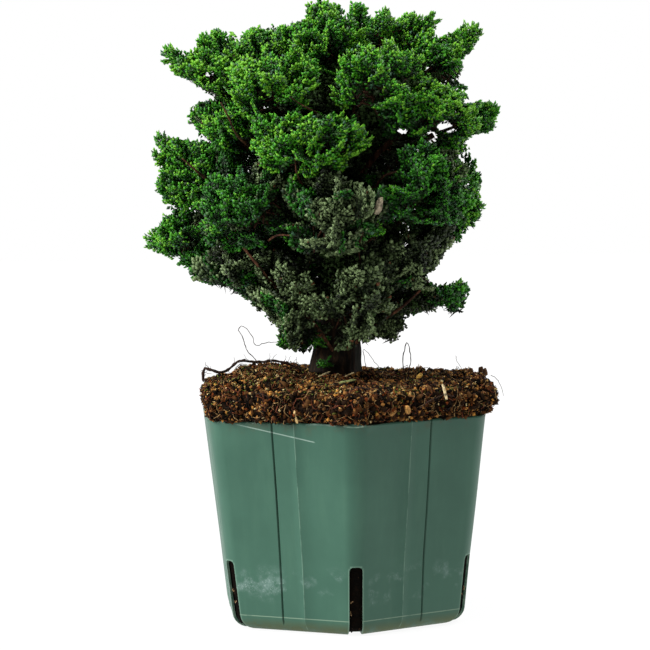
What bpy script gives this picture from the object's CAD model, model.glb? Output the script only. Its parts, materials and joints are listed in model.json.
# The looks of a dwarf scale-leaved conifer in a six-sided slit pot. Metres, +Z up, in the
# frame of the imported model: the origin is the middle of the pot's underside.

import json
import math
import random

import bmesh
import bpy
import numpy as np
from mathutils import Matrix, Vector, bvhtree, noise

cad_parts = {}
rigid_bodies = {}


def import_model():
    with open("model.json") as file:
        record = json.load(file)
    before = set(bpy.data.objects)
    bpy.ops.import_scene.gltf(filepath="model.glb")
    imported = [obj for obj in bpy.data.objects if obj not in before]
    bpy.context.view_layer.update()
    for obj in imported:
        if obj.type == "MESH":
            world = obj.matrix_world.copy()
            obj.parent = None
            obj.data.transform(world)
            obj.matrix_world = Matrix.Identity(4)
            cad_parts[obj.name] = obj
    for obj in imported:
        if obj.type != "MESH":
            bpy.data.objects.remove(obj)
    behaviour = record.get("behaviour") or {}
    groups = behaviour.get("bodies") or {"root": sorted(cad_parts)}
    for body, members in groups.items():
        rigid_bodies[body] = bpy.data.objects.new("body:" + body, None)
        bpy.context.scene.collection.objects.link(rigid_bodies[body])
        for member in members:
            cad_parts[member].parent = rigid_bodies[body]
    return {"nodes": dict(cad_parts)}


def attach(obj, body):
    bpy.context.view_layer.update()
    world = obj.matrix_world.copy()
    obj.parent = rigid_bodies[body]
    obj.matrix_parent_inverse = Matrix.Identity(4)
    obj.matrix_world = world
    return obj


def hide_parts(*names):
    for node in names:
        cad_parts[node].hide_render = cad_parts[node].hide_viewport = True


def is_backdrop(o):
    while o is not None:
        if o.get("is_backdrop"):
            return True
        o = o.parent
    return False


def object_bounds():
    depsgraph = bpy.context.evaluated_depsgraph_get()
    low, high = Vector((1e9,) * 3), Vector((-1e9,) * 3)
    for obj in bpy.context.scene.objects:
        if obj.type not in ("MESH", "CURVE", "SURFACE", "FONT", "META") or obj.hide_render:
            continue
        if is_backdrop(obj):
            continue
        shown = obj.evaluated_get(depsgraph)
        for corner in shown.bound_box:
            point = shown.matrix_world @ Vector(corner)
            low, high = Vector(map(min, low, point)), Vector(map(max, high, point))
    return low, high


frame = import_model()
cad_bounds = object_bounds()

MM = 0.001
UP = Vector((0, 0, 1))
GOLDEN_TURN = math.pi * (3 - math.sqrt(5))

# Seeds, so that each run draws the same shapes.
SEEDS = {
    "tuft": 40, "spray": 900, "shoot": 600, "core": 99, "grain": 700, "top_grain": 740,
    "lump": 760, "fibre": 800, "moss": 77, "root": 31, "slit": 55,
}

# The pot, as in the solids.
POT_TOP_FLATS = 132 * MM
POT_BASE_FLATS = 109.6 * MM
POT_HEIGHT = 100 * MM
POT_WALL = 1.2 * MM
POT_TURN = math.radians(5.1)
POT_CORNER_RADIUS = 8.6 * MM
POT_BASE_RADIUS = 7 * MM
SLIT_WIDTH = 6.3 * MM
SLIT_SQUARENESS = 0.62
SLIT_HEIGHT = 33 * MM
SLIT_INNER_END = 47 * MM
SLIT_OUTER_END = 90 * MM

# The trunk and the boughs, as in the solids.
SOIL_LEVEL = 118 * MM
TRUNK_TOP = 264 * MM
TRUNK_RADIUS = 11.5 * MM
TRUNK_TIP_RADIUS = 1.2 * MM
TRUNK_TAPER_POWER = 0.85
FLARE_WIDTH = 1.1 * MM
FLARE_HEIGHT = 9 * MM
FLARE_LOBES = 5
FLARE_LOBE_DEPTH = 1.1 * MM
FLARE_LOBE_TURN = 0.6
TRUNK_FOOT_X = -2.6 * MM
TRUNK_LEAN = -4.5 * MM
TRUNK_WAVE = 2.4 * MM
TRUNK_WAVES_X = 1.1
TRUNK_WAVES_Y = 0.7
BOUGH_START_SHARE = 0.3
BOUGH_TIP_RADIUS = 1.3 * MM
BOUGH_TAPER_POWER = 0.8
BOUGH_BEND = 0.45
BOUGH_LEAVES_AT = 0.42
BOUGH_SIDE = math.cos(math.radians(62))
BOUGH_SPACING = 10 * MM
BOUGH_LIFTS = {"lower_right_outer": 7 * MM}

# The tufts, as in the solids.
TUFT_DEPTH = 24 * MM
GROWTH_RISE = 0.55
BOUGH_FROM = 42 * MM
BOUGH_END = 0.85
STEM_DROP = 0.45
STEM_ABOVE_SOIL = 6 * MM
STEM_BELOW_TOP = 1 * MM
HEART_SHARE = 0.85
TWIG_SHARE = 0.42
TWIG_FIRST = 0.35
TWIG_SPREAD = 1.45
FAN_JITTER = 0.12
FAN_ROLL = 0.9
CELL_MARGIN = 0.2 * MM

# Azimuth in degrees, then distance from the pot's axis, height, half width across and half
# height in mm, and last how bright the tuft's young leaves are.
CROWN = {
    "peak": {
        "tip": (205, 8, 272, 25, 25, 1.0),
    },
    "top": {
        "left_outer": (186, 60, 257, 26, 20, 0.95),
        "left": (160, 38, 266, 26, 23, 0.9),
        "right": (26, 27, 270, 25, 24, 0.9),
        "right_outer": (2, 49, 266, 27, 20, 0.95),
        "front_left": (230, 43, 251, 27, 21, 0.88),
        "front_right": (300, 40, 252, 29, 21, 0.85),
        "back_left": (118, 48, 265, 31, 23, 0.9),
        "back_right": (62, 48, 265, 31, 23, 0.9),
    },
    "upper": {
        "left": (201, 48, 235, 26, 18, 0.85),
        "front": (256, 49, 227, 32, 19, 0.95),
        "right": (331, 48, 240, 27, 18, 0.95),
        "right_outer": (9, 58, 239, 22, 15, 1.0),
        "back_right": (50, 56, 235, 32, 20, 0.75),
        "back": (105, 56, 236, 33, 20, 0.75),
        "back_left": (155, 55, 234, 29, 20, 0.75),
    },
    "middle": {
        "left_outer": (180, 66, 216, 27, 22, 0.85),
        "front_left": (224, 54, 200, 28, 24, 0.4),
        "front": (268, 53, 197, 27, 23, 0.1),
        "right": (316, 49, 207, 31, 23, 0.45),
        "right_outer": (5, 49, 202, 27, 24, 0.98),
        "back_right": (52, 54, 203, 33, 23, 0.5),
        "back_left": (118, 56, 203, 34, 23, 0.5),
    },
    "lower": {
        "left_outer": (179, 70, 185, 22, 14, 0.85),
        "left": (202, 48, 173, 27, 18, 0.27),
        "front_left": (236, 37, 159, 24, 23, 0.1),
        "front": (279, 37, 162, 26, 27, 0.0),
        "right": (324, 37, 177, 27, 22, 0.05),
        "right_outer": (356, 43, 155, 22, 9, 0.35),
        "back_left": (125, 38, 165, 32, 26, 0.2),
        "back_right": (58, 38, 165, 32, 26, 0.2),
    },
    "foot": {
        "right": (330, 22, 142, 17, 13, 0.1),
        "left": (196, 22, 137, 13, 9, 0.4),
        "back": (100, 21, 146, 21, 14, 0.1),
    },
}

# How the foliage is carried on to finer growth.
TWIGS_A_TUFT = 27
USUAL_HALF_WIDTH = 27 * MM
BUNCHES = (0.80, 0.89, 0.95, 1.0, 1.04)
STEM_RADII = (1.3 * MM, 1.0 * MM)
TWIG_RADII = (0.8 * MM, 0.55 * MM)
SPRAY_TWIG_RADII = (0.55 * MM, 0.45 * MM)
SHOOT_RADII = (0.9 * MM, 0.6 * MM)
SHOOT_FORKS_AT = 1.25
SHOOT_INSIDE = 16 * MM
SPRAY_HELD_AT = 0.95
SPRAY_SPIN = 0.8
LONGEST_OF_WAY = 1.1
FANS_A_TWIG = 5
FAN_SWING = 0.42
FAN_LEAN = 0.4
LEAST_SHARE = 0.45
PROBE_AHEAD = 9 * MM
WELL_INSIDE = 0.78
SPRAY_LENGTHS = (11.5 * MM, 16.5 * MM)
SPRAY_PATTERNS = 14
INNER_FANS_A_TUFT = 44
INNER_LENGTHS = (9 * MM, 15 * MM)
INNER_EVERY = 6
INNER_BROADER = 2.1
INNER_REACH = (0.30, 0.74)
LEAST_SPRAY = 6 * MM
# How sprays lie: the least and most rise, and the share whose flat face shows.
YOUNG_LIE = (-0.05, 0.40, 0.22)
OLD_LIE = (0.1, 0.8, 0.6)
YOUNG_FROM = 0.36
OLD_SPRAY_SIZE = 1.22
CORE_MIDDLE = Vector((-5, 0, 222)) * MM
CORE_HALF = Vector((34, 34, 58)) * MM
CORE_FANS = 1000
MOST_TRIANGLES = 190000

# Leaf colours from the most shaded to the freshest tips: of young sprays, then of old ones.
YOUNG_COLOURS = {
    "night": (9, 18, 8),
    "deep": (14, 33, 12),
    "dark": (18, 52, 14),
    "mid": (22, 72, 12),
    "leaf": (32, 96, 10),
    "fresh": (48, 122, 10),
    "lime": (68, 146, 18),
    "lime_tip": (104, 166, 34),
}
OLD_COLOURS = {
    "old_night": (12, 15, 8),
    "old_deep": (20, 27, 14),
    "old_dark": (32, 43, 22),
    "old_mid": (48, 61, 33),
    "old_grey": (70, 88, 50),
    "old_pale": (114, 134, 88),
}
OTHER_COLOURS = {
    "blue_green": (58, 98, 70),
    "fern": (28, 46, 25),
    "sage": (50, 76, 46),
    "sage_pale": (74, 112, 62),
    "dry": (96, 58, 32),
}
DULL = ("fern", "fern", "fern", "fern", "sage", "sage", "sage_pale", "sage_pale")
INNER_COLOURS = {
    "inner_dark": (34, 47, 24),
    "inner_green": (54, 76, 37),
}
YOUNG = tuple(YOUNG_COLOURS)
FRESH = YOUNG[4:]
OLD = tuple(OLD_COLOURS)

# Shares of a spray's fingers that get another colour.
SHEEN_SHARE = 0.045
DULL_SHARE = 0.15
BLUE_SHARE = 0.13
DRY_SHARE = 0.008
LEAST_KEPT = 0.5

# How light falls off inside the crown: how far above a tip foliage may cover it, whether the
# place lies outwards too, and the light lost to it.
LIGHT_PROBES = ((12 * MM, 0, 0.30), (24 * MM, 0, 0.20), (11 * MM, 1, 0.20))
UNDERSIDE_LOSS = 0.30
PATCH_DEPTH = 0.9
DARKEST_PATCH = -0.34
BRIGHTEST_PATCH = 0.20

# Hollows between the pads, where no spray ends: the middle and the half sizes in mm.
HOLLOWS = (
    ((14, -56, 250), (11, 16, 12)),
    ((18, -50, 224), (12, 26, 20)),
    ((38, -46, 262), (11, 16, 6)),
    ((-7, -56, 247), (12, 11, 5)),
    ((-46, -48, 231), (8, 16, 7)),
    ((-55, -42, 217), (9, 16, 4)),
    ((-30, -54, 198), (9, 15, 8)),
    ((11, -55, 202), (7, 16, 12)),
    ((13, -48, 163), (6, 14, 7)),
    ((-12, -52, 180), (12, 14, 4)),
    ((34, -42, 200), (5, 18, 10)),
    ((-28, -48, 262), (10, 15, 5)),
    ((-26, -34, 155), (5, 20, 8)),
    ((-17, -30, 143), (4, 20, 7)),
    ((-34, -38, 168), (4, 18, 6)),
    ((0, 60, 222), (14, 15, 5)),
    ((40, 46, 222), (10, 15, 6)),
    ((-40, 48, 246), (10, 15, 5)),
    ((-34, 52, 196), (9, 15, 9)),
)
GAP_SIZE = 14 * MM
GAP_BELOW = -0.21

# The crown's outline from the front, at the trunk's own plane: x and height in mm.
OUTLINE = (
    (-14, 291), (-14, 297), (-6, 299), (-1, 296), (4, 297), (8, 294), (14, 297), (20, 293),
    (30, 294), (35, 291), (49, 291), (50, 288), (47, 283), (44, 279), (50, 279), (54, 284),
    (57, 286), (63, 287), (69, 287), (68, 278), (64, 273), (60, 271), (59, 262), (57, 259),
    (63, 255), (59, 248), (63, 246), (69, 249), (75, 250), (78, 246), (75, 240), (74, 234),
    (69, 235), (62, 231), (58, 228), (64, 226), (67, 221), (64, 217), (70, 211), (67, 203),
    (69, 192), (61, 188), (57, 181), (51, 178), (46, 168), (39, 166), (46, 159), (54, 159),
    (63, 161), (60, 154), (60, 146), (55, 147), (51, 152), (42, 149), (36, 146), (30, 146),
    (32, 141), (28, 138), (26, 133), (19, 136), (12, 133), (8, 124), (-15, 124), (-24, 131),
    (-31, 130), (-28, 139), (-32, 143), (-38, 149), (-45, 155), (-55, 162), (-72, 164),
    (-77, 168), (-79, 175), (-87, 174), (-94, 180), (-92, 187), (-87, 190), (-84, 196),
    (-80, 199), (-88, 203), (-87, 213), (-84, 217), (-92, 224), (-89, 230), (-85, 234),
    (-78, 232), (-66, 230), (-58, 230), (-66, 236), (-73, 242), (-67, 249), (-59, 250),
    (-58, 254), (-66, 257), (-70, 262), (-81, 264), (-86, 272), (-78, 277), (-69, 278),
    (-66, 281), (-54, 285), (-47, 282), (-42, 285), (-33, 284.5), (-24, 286), (-15, 288),
)
# Gaps through which the sky shows, the same way: x, height and half sizes in mm.
SKY_GAPS = (
    (31.6, 234.7, 4.4, 2.8), (42.2, 239.5, 2.8, 2.4), (53.4, 236.6, 6.2, 4.0), (45.4, 231.5, 4.2, 3.6),
    (57.6, 244.3, 3, 2.0), (37.4, 225.5, 2, 1.7), (27.7, 217.7, 1.8, 1.8),
    (43.7, 264.4, 3, 2.4), (47, 249.2, 1.6, 1.6), (-62, 263.5, 4, 2.4),
    (-47.5, 280, 2.5, 2.5), (46, 204.5, 3, 2.4), (62, 209, 3, 2.6), (55, 193, 2.2, 2),
    (33, 180, 1.8, 2.4), (-72, 184, 3, 1.6), (-57, 178, 1.8, 1.6),
)
RAGGED = 0.9 * MM

# Bare limbs that show between the sprays: thickness at both ends and points, in mm.
BARE_STEMS = (
    (2.2, 1.2, ((-4, -10, 130), (-12, -22, 142.6), (-19.6, -29, 151), (-27, -35, 158),
                (-38, -42, 171.8), (-45, -45, 181))),
    (1.9, 1.0, ((6, -10, 132), (17, -20, 142.5), (29, -26, 151), (38, -27, 159))),
    (1.6, 0.9, ((2, -12, 222), (6, -22, 236), (8, -28, 250), (5, -30, 262))),
    (1.1, 0.7, ((6, -22, 238), (14, -30, 247), (21, -34, 255))),
    (1.1, 0.7, ((-42, -36, 228), (-47, -44, 233), (-51, -50, 242), (-54, -52, 248))),
    (1.0, 0.7, ((-10, -44, 243), (-16, -54, 246), (-22, -58, 250))),
    (1.2, 0.8, ((-60, -26, 211), (-66, -34, 216), (-73, -38, 222.5))),
    (1.1, 0.7, ((-16, -54, 208), (-19, -62, 214), (-20, -66, 222))),
    (1.1, 0.7, ((17, -42, 208), (21, -50, 213), (27, -54, 215))),
    (0.9, 0.6, ((-33, -48, 184), (-28, -56, 186.5), (-20, -60, 186))),
    (1.0, 0.7, ((10, -40, 172), (9, -48, 181), (12, -54, 190))),
)
STEM_CLEARANCE = 1.1 * MM
STEM_SHOWS = 0.7

# Shoots that stand out alone: tip, heading, sprays, size in mm, and how bright.
SHOOTS = (
    ((-7, -5, 291.5), (0, -0.1, 1), 5, 11, 1.0),
    ((-4, -10, 289), (0.3, -0.3, 1), 4, 10, 0.9),
    ((-82, -15, 270.5), (-1, -0.2, 0.1), 6, 13, 1.0),
    ((-77, -16, 266), (-1, -0.3, -0.2), 5, 12, 0.7),
    ((-65, -15, 279), (-0.7, -0.2, 0.8), 5, 11, 0.9),
    ((67.5, -5, 281.5), (0.8, -0.1, 0.6), 6, 13, 1.0),
    ((60, -8, 279.5), (0.3, -0.3, 0.9), 5, 12, 0.8),
    ((76, -5, 244), (0.8, -0.2, 0.3), 6, 12, 0.9),
    ((73, -8, 235), (1, -0.2, -0.3), 5, 12, 0.5),
    ((67.5, -8, 197), (0.9, -0.4, 0.2), 5, 12, 0.9),
    ((60, -20, 212), (0.8, -0.6, 0.4), 5, 11, 0.8),
    ((13, -62, 229), (0.7, -1, 0.3), 6, 12, 1.0),
    ((-92, 0, 181.5), (-1, 0, 0), 6, 12, 0.9),
    ((-87.5, 0, 233), (-0.8, 0, 0.9), 4, 11, 0.9),
    ((-86, -5, 210), (-1, -0.2, 0.1), 5, 11, 0.8),
    ((59.5, -5, 158.5), (0.95, 0, 0.2), 5, 10, 0.95),
    ((57.5, -5, 148.5), (0.7, -0.1, -0.6), 4, 9, 0.8),
    ((50, -6, 156), (0.9, -0.3, 0.2), 4, 12, 0.1),
    ((44, -8, 150), (0.7, -0.5, -0.3), 4, 12, 0.0),
    ((-9, -17, 136), (0.2, -1, 0.6), 4, 9, 0.85),
    ((-7, -18, 124), (0.1, -1, 0.1), 4, 9, 0.6),
    ((-29, -12, 133), (-1, -0.3, -0.1), 5, 10, 0.6),
    ((-24, -14, 138), (-0.8, -0.5, 0.3), 4, 10, 0.2),
    ((-46, -56, 203), (-0.4, -1, 0.3), 4, 12, 0.9),
    ((-60, -40, 190), (-0.6, -0.9, 0.2), 5, 12, 0.95),
    ((19, -56, 188), (0.3, -1, 0.3), 3, 9, 0.9),
    ((26, -56, 206), (0.4, -1, 0.4), 4, 10, 0.7),
    ((56, -36, 216), (0.6, -0.8, 0.5), 5, 12, 0.85),
    ((12, -44, 165), (0.2, -1, 0.0), 2, 8, 0.9),
    ((-58, -10, 282), (-0.4, -0.2, 1), 5, 12, 0.95),
    ((-64, -12, 278), (-0.8, -0.2, 0.6), 4, 11, 0.95),
    ((12, -5, 294), (0.2, -0.1, 1), 5, 12, 0.9),
    ((24, -8, 291.5), (0.2, -0.2, 1), 5, 12, 0.95),
    ((38, -8, 289), (0.3, -0.2, 0.9), 5, 12, 0.95),
    ((48, -8, 287), (0.9, -0.1, 0.2), 6, 12, 1.0),
    ((-40, -10, 282.5), (-0.1, -0.2, 1), 5, 12, 0.9),
    ((-25, -10, 283.5), (0.1, -0.2, 1), 4, 11, 0.9),
    ((65, -6, 191), (0.9, -0.2, -0.3), 4, 10, 0.6),
    ((55.5, -8, 182), (0.7, -0.2, -0.6), 5, 11, 0.3),
    ((-74, -6, 171), (-0.8, -0.2, -0.4), 6, 13, 0.4),
    ((-67, -10, 167), (-0.5, -0.4, -0.6), 6, 12, 0.35),
    ((-57, -14, 164), (-0.4, -0.4, -0.6), 5, 12, 0.35),
)

CAMERA_LENS = 141.4
CAMERA_SENSOR = 36
CAMERA_DISTANCE = 1236 * MM
CAMERA_TARGET = Vector((0, 0, 151 * MM))
CAMERA_ELEVATION = math.radians(2.72)
CAMERA_ROLL = math.radians(-0.72)
EYE_WAY = Vector((0, -math.cos(CAMERA_ELEVATION), math.sin(CAMERA_ELEVATION)))
EYE = CAMERA_TARGET + EYE_WAY * CAMERA_DISTANCE
IMAGE_SIDE = 650
TARGET_IN_IMAGE = (340.2, 305.3)

# The studio: each lamp's direction from the object, its spread in degrees and its strength.
FLOOR_SIZE = 12
FLOOR_COLOUR = (74, 74, 74)
FLOOR_GLOW = 0.93
AMBIENT = 0.165
LAMPS = (
    ("key", (-0.86, -0.26, 0.60), 44, 5.15),
    ("top", (0.28, -0.08, 0.95), 50, 2.1),
    ("back", (0.66, 0.60, 0.60), 40, 1.9),
)


def linear(colour):
    """A colour of 0 to 255 steps, as light."""
    shares = [part / 255 for part in colour]
    return tuple(s / 12.92 if s <= 0.04045 else ((s + 0.055) / 1.055) ** 2.4 for s in shares)


# Materials

class Signal:
    """A shader socket. Arithmetic on it adds the nodes that work it out."""

    def __init__(self, finish, socket):
        self.finish = finish
        self.socket = socket

    def __add__(self, other):
        return self.finish.maths("ADD", self, other)

    def __radd__(self, other):
        return self.finish.maths("ADD", other, self)

    def __sub__(self, other):
        return self.finish.maths("SUBTRACT", self, other)

    def __rsub__(self, other):
        return self.finish.maths("SUBTRACT", other, self)

    def __mul__(self, other):
        return self.finish.maths("MULTIPLY", self, other)

    def __abs__(self):
        return self.finish.maths("ABSOLUTE", self)

    def between(self, low, high):
        """0 at low and 1 at high, smoothly, and held beyond them."""
        return self.finish.node(
            "ShaderNodeMapRange", {"interpolation_type": "SMOOTHSTEP", "clamp": True},
            self, low, high,
        )

    def near(self, value, full, gone):
        """1 as far as full from a value, and 0 from gone on."""
        return 1 - abs(self - value).between(full, gone)


class Finish:
    """A material in the making."""

    def __init__(self, name, roughness=0.5, colour=None, gloss=0.5):
        self.material = bpy.data.materials.new(name)
        self.material.use_nodes = True
        self.tree = self.material.node_tree
        self.shader = self.tree.nodes["Principled BSDF"]
        self.set("Roughness", roughness)
        if colour is not None:
            self.set("Base Color", (*linear(colour), 1))
        self.set("Specular IOR Level", gloss)
        self.coordinates = None

    def set(self, name, value):
        self.plug(value, self.shader.inputs[name])

    def plug(self, value, socket):
        if isinstance(value, Signal):
            self.tree.links.new(value.socket, socket)
        else:
            socket.default_value = value

    def node(self, kind, settings, *values, output=0, **named):
        """Adds a node: its settings come first, then its sockets in order or by name."""
        made = self.tree.nodes.new(kind)
        for key, value in settings.items():
            if key == "stops":
                ramp = made.color_ramp
                while len(ramp.elements) < len(value):
                    ramp.elements.new(0.5)
                for element, (place, colour) in zip(ramp.elements, value):
                    element.position = place
                    element.color = (*linear(colour), 1)
            else:
                setattr(made, key, value)
        for place, value in enumerate(values):
            self.plug(value, made.inputs[place])
        for key, value in named.items():
            self.plug(value, made.inputs[key.replace("_", " ")])
        return Signal(self, made.outputs[output])

    def maths(self, operation, *values):
        return self.node("ShaderNodeMath", {"operation": operation}, *values)

    def place(self):
        """The point on the object, in metres."""
        if self.coordinates is None:
            self.coordinates = self.node("ShaderNodeTexCoord", {}, output="Object")
        return self.coordinates

    def stretched_place(self, x, y, z):
        return self.node("ShaderNodeMapping", {}, self.place(), Scale=(x, y, z))

    def axis(self, name):
        return self.node("ShaderNodeSeparateXYZ", {}, self.place(), output=name)

    def cloud(self, size, detail=3.0, roughness=0.55, place=None):
        """Noise from 0 to 1, whose lumps are about this size in metres."""
        return self.node(
            "ShaderNodeTexNoise", {}, Vector=place or self.place(), Scale=1 / size,
            Detail=detail, Roughness=roughness,
        )

    def mix(self, share, first, second):
        """From the first colour to the second."""
        mixed = self.tree.nodes.new("ShaderNodeMix")
        mixed.data_type = "RGBA"
        self.plug(share, mixed.inputs[0])
        for value, socket in ((first, mixed.inputs[6]), (second, mixed.inputs[7])):
            self.plug(value if isinstance(value, Signal) else (*linear(value), 1), socket)
        return Signal(self, mixed.outputs[2])

    def relief(self, height, distance, strength=1.0):
        """Bumps of this height in metres where the signal goes from 0 to 1."""
        self.set("Normal", self.node(
            "ShaderNodeBump", {}, Height=height, Distance=distance, Strength=strength,
        ))


def mottled_finish(name, roughness, colour, gloss, size=1.6 * MM, depth=0.3):
    """Woody skin: darker and paler patches of about this size, with a slight relief."""
    finish = Finish(name, roughness, gloss=gloss)
    patches = finish.cloud(size, 5, 0.65)
    dark = tuple(part * (1 - depth) for part in colour)
    pale = tuple(min(255, part * (1 + depth)) for part in colour)
    finish.set("Base Color", finish.mix(patches.between(0.35, 0.65), dark, pale))
    finish.relief(patches, size / 8, 0.6)
    return finish


# Meshes

def object_of(name, mesh, finishes):
    obj = bpy.data.objects.new(name, mesh)
    bpy.context.scene.collection.objects.link(obj)
    for finish in finishes:
        obj.data.materials.append(finish.material)
    return obj


def from_bmesh(name, bm, finishes, smooth_angle=None):
    mesh = bpy.data.meshes.new(name)
    bm.to_mesh(mesh)
    bm.free()
    if smooth_angle is not None:
        mesh.shade_smooth()
        mesh.set_sharp_from_angle(angle=math.radians(smooth_angle))
    return object_of(name, mesh, finishes)


def facing_out(points, faces):
    """The faces of a small rounded shape, each turned to face away from its middle."""
    points = np.asarray(points, float)
    faces = np.asarray(faces)
    corners = points[faces]
    normals = np.cross(corners[:, 1] - corners[:, 0], corners[:, 2] - corners[:, 0])
    inwards = (normals * (corners.mean(1) - points.mean(0))).sum(1) < 0
    faces[inwards] = faces[inwards][:, ::-1]
    return faces


class Heap:
    """Points and triangles gathered into one joined piece."""

    def __init__(self):
        self.points = []
        self.faces = []
        self.count = 0

    def add(self, points, faces):
        """Adds copies of one shape: points by copy, and the faces of one copy."""
        points = np.asarray(points, float)
        if points.ndim == 2:
            points = points[None]
        copies, each, _ = points.shape
        starts = self.count + each * np.arange(copies)
        self.points.append(points.reshape(-1, 3))
        self.faces.append((starts[:, None, None] + np.asarray(faces)[None]).reshape(-1, 3))
        self.count += copies * each

    def object(self, name, finish, smooth=True):
        points = np.concatenate(self.points).astype(np.float32)
        faces = np.concatenate(self.faces).astype(np.int32)
        mesh = bpy.data.meshes.new(name)
        mesh.vertices.add(len(points))
        mesh.vertices.foreach_set("co", points.ravel())
        mesh.loops.add(faces.size)
        mesh.loops.foreach_set("vertex_index", faces.ravel())
        mesh.polygons.add(len(faces))
        mesh.polygons.foreach_set("loop_start", 3 * np.arange(len(faces), dtype=np.int32))
        mesh.update(calc_edges=True)
        if smooth:
            mesh.shade_smooth()
        return object_of(name, mesh, [finish])


def tube(path, radii, sides, relief=None):
    """Points and triangles of a closed tube along a path. Relief gives each point's own radius."""
    path = np.asarray([tuple(p) for p in path], float)
    count = len(path)
    steps = np.gradient(path, axis=0)
    headings = steps / np.linalg.norm(steps, axis=1)[:, None]
    side = np.cross(headings[0], (0.0, 0.0, 1.0))
    if np.linalg.norm(side) < 0.1:
        side = np.cross(headings[0], (0.0, 1.0, 0.0))
    turns = np.linspace(0, 2 * math.pi, sides, endpoint=False)
    points = np.empty((count * sides + 2, 3))
    for index, (spot, heading) in enumerate(zip(path, headings)):
        side = side - heading * side.dot(heading)
        side /= np.linalg.norm(side)
        other = np.cross(heading, side)
        ring = np.outer(np.cos(turns), side) + np.outer(np.sin(turns), other)
        radius = radii[index]
        if relief is not None:
            radius = np.array([relief(index, turn, radius) for turn in turns])[:, None]
        points[index * sides:(index + 1) * sides] = spot + ring * radius
    points[-2], points[-1] = path[0], path[-1]
    faces = []
    for index in range(count - 1):
        for k in range(sides):
            a, b = index * sides + k, index * sides + (k + 1) % sides
            faces.append((a, b, b + sides))
            faces.append((a, b + sides, a + sides))
    last = (count - 1) * sides
    for k in range(sides):
        faces.append((count * sides, (k + 1) % sides, k))
        faces.append((count * sides + 1, last + k, last + (k + 1) % sides))
    return points, np.array(faces)


def bent_path(start, control, end, count):
    points = []
    for step in range(count):
        t = step / (count - 1)
        points.append(start * (1 - t) ** 2 + control * (2 * t * (1 - t)) + end * t * t)
    return points


def towards(turn, rise=0):
    """The direction at this turn round the upright axis."""
    return Vector((math.cos(turn), math.sin(turn), rise))


def random_vector(chance, spread=1):
    return Vector([chance.gauss(0, spread) for _ in range(3)])


def smooth_route(points, step=1.2):
    """Points on a smooth curve through the given ones."""
    points = [Vector(point) for point in points]
    route = []
    for index in range(len(points) - 1):
        before = points[max(index - 1, 0)]
        start, end = points[index], points[index + 1]
        after = points[min(index + 2, len(points) - 1)]
        count = max(2, round((end - start).length / step))
        for k in range(count):
            t = k / count
            route.append(0.5 * (
                2 * start + (end - before) * t
                + (2 * before - 5 * start + 4 * end - after) * t * t
                + (3 * start - 3 * end + after - before) * t ** 3
            ))
    route.append(points[-1])
    return route


# The trunk and where things leave it, as in the solids

def trunk_line(height):
    t = (height - SOIL_LEVEL) / (TRUNK_TOP - SOIL_LEVEL)
    x = TRUNK_FOOT_X + TRUNK_LEAN * t + TRUNK_WAVE * math.sin(TRUNK_WAVES_X * math.tau * t)
    y = TRUNK_WAVE * math.sin(TRUNK_WAVES_Y * math.tau * t)
    return Vector((x, y, height))


def trunk_radius(height):
    t = min(max((height - SOIL_LEVEL) / (TRUNK_TOP - SOIL_LEVEL), 0), 1)
    taper = TRUNK_TIP_RADIUS + (TRUNK_RADIUS - TRUNK_TIP_RADIUS) * (1 - t) ** TRUNK_TAPER_POWER
    return taper + FLARE_WIDTH * math.exp(-(height - SOIL_LEVEL) / FLARE_HEIGHT)


class Tuft:
    """A mass of foliage: its middle, its half sizes, where its stem starts and its own space."""

    def __init__(self, tier, side, azimuth, out, height, half_width, half_height, bright):
        self.name = f"{tier}_{side}"
        self.bright = bright
        self.old = bright < YOUNG_FROM
        turn = math.radians(azimuth)
        self.centre = Vector((math.cos(turn) * out, math.sin(turn) * out, height)) * MM
        self.half = Vector((min(half_width * MM, TUFT_DEPTH), half_width * MM, half_height * MM))
        axis_point = trunk_line(min(self.centre.z, TRUNK_TOP))
        away = self.centre - axis_point
        away.z = 0
        self.out = away.length
        self.outward = away.normalized()
        self.axes = (self.outward, UP.cross(self.outward), UP)
        self.growth = (self.outward + UP * GROWTH_RISE).normalized()
        self.on_bough = self.out > BOUGH_FROM
        if self.on_bough:
            self.root = self.centre - self.growth * (min(self.half) * BOUGH_END)
        else:
            height = self.centre.z - self.out * STEM_DROP
            lowest, highest = SOIL_LEVEL + STEM_ABOVE_SOIL, TRUNK_TOP - STEM_BELOW_TOP
            self.root = trunk_line(min(max(height, lowest), highest))
            self.growth = (self.centre - self.root).normalized()
        self.planes = []

    def stretched(self, direction):
        parts = [axis * (direction.dot(axis) * h) for axis, h in zip(self.axes, self.half)]
        return parts[0] + parts[1] + parts[2]

    def share_of(self, offset):
        return Vector(offset.dot(axis) / h for axis, h in zip(self.axes, self.half)).length

    def set_apart(self, others):
        for other in others:
            if other is self:
                continue
            apart = other.centre - self.centre
            normal = apart.normalized()
            own = 1 / self.share_of(normal)
            share = own / (own + 1 / other.share_of(normal))
            spot = self.centre + apart * share - normal * CELL_MARGIN
            self.planes.append((spot, normal))

    def pulled_in(self, point):
        """The point brought back into the tuft's space, and how much of its way is left."""
        offset = point - self.centre
        share = 1.0
        for spot, normal in self.planes:
            reach = offset.dot(normal)
            room = (spot - self.centre).dot(normal)
            if reach > room:
                share = min(share, room / reach)
        return self.centre + offset * share, share


def crown_tufts():
    tufts = [
        Tuft(tier, side, *sizes)
        for tier, sides in CROWN.items() for side, sizes in sides.items()
    ]
    for tuft in tufts:
        tuft.set_apart(tufts)
    return tufts


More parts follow.
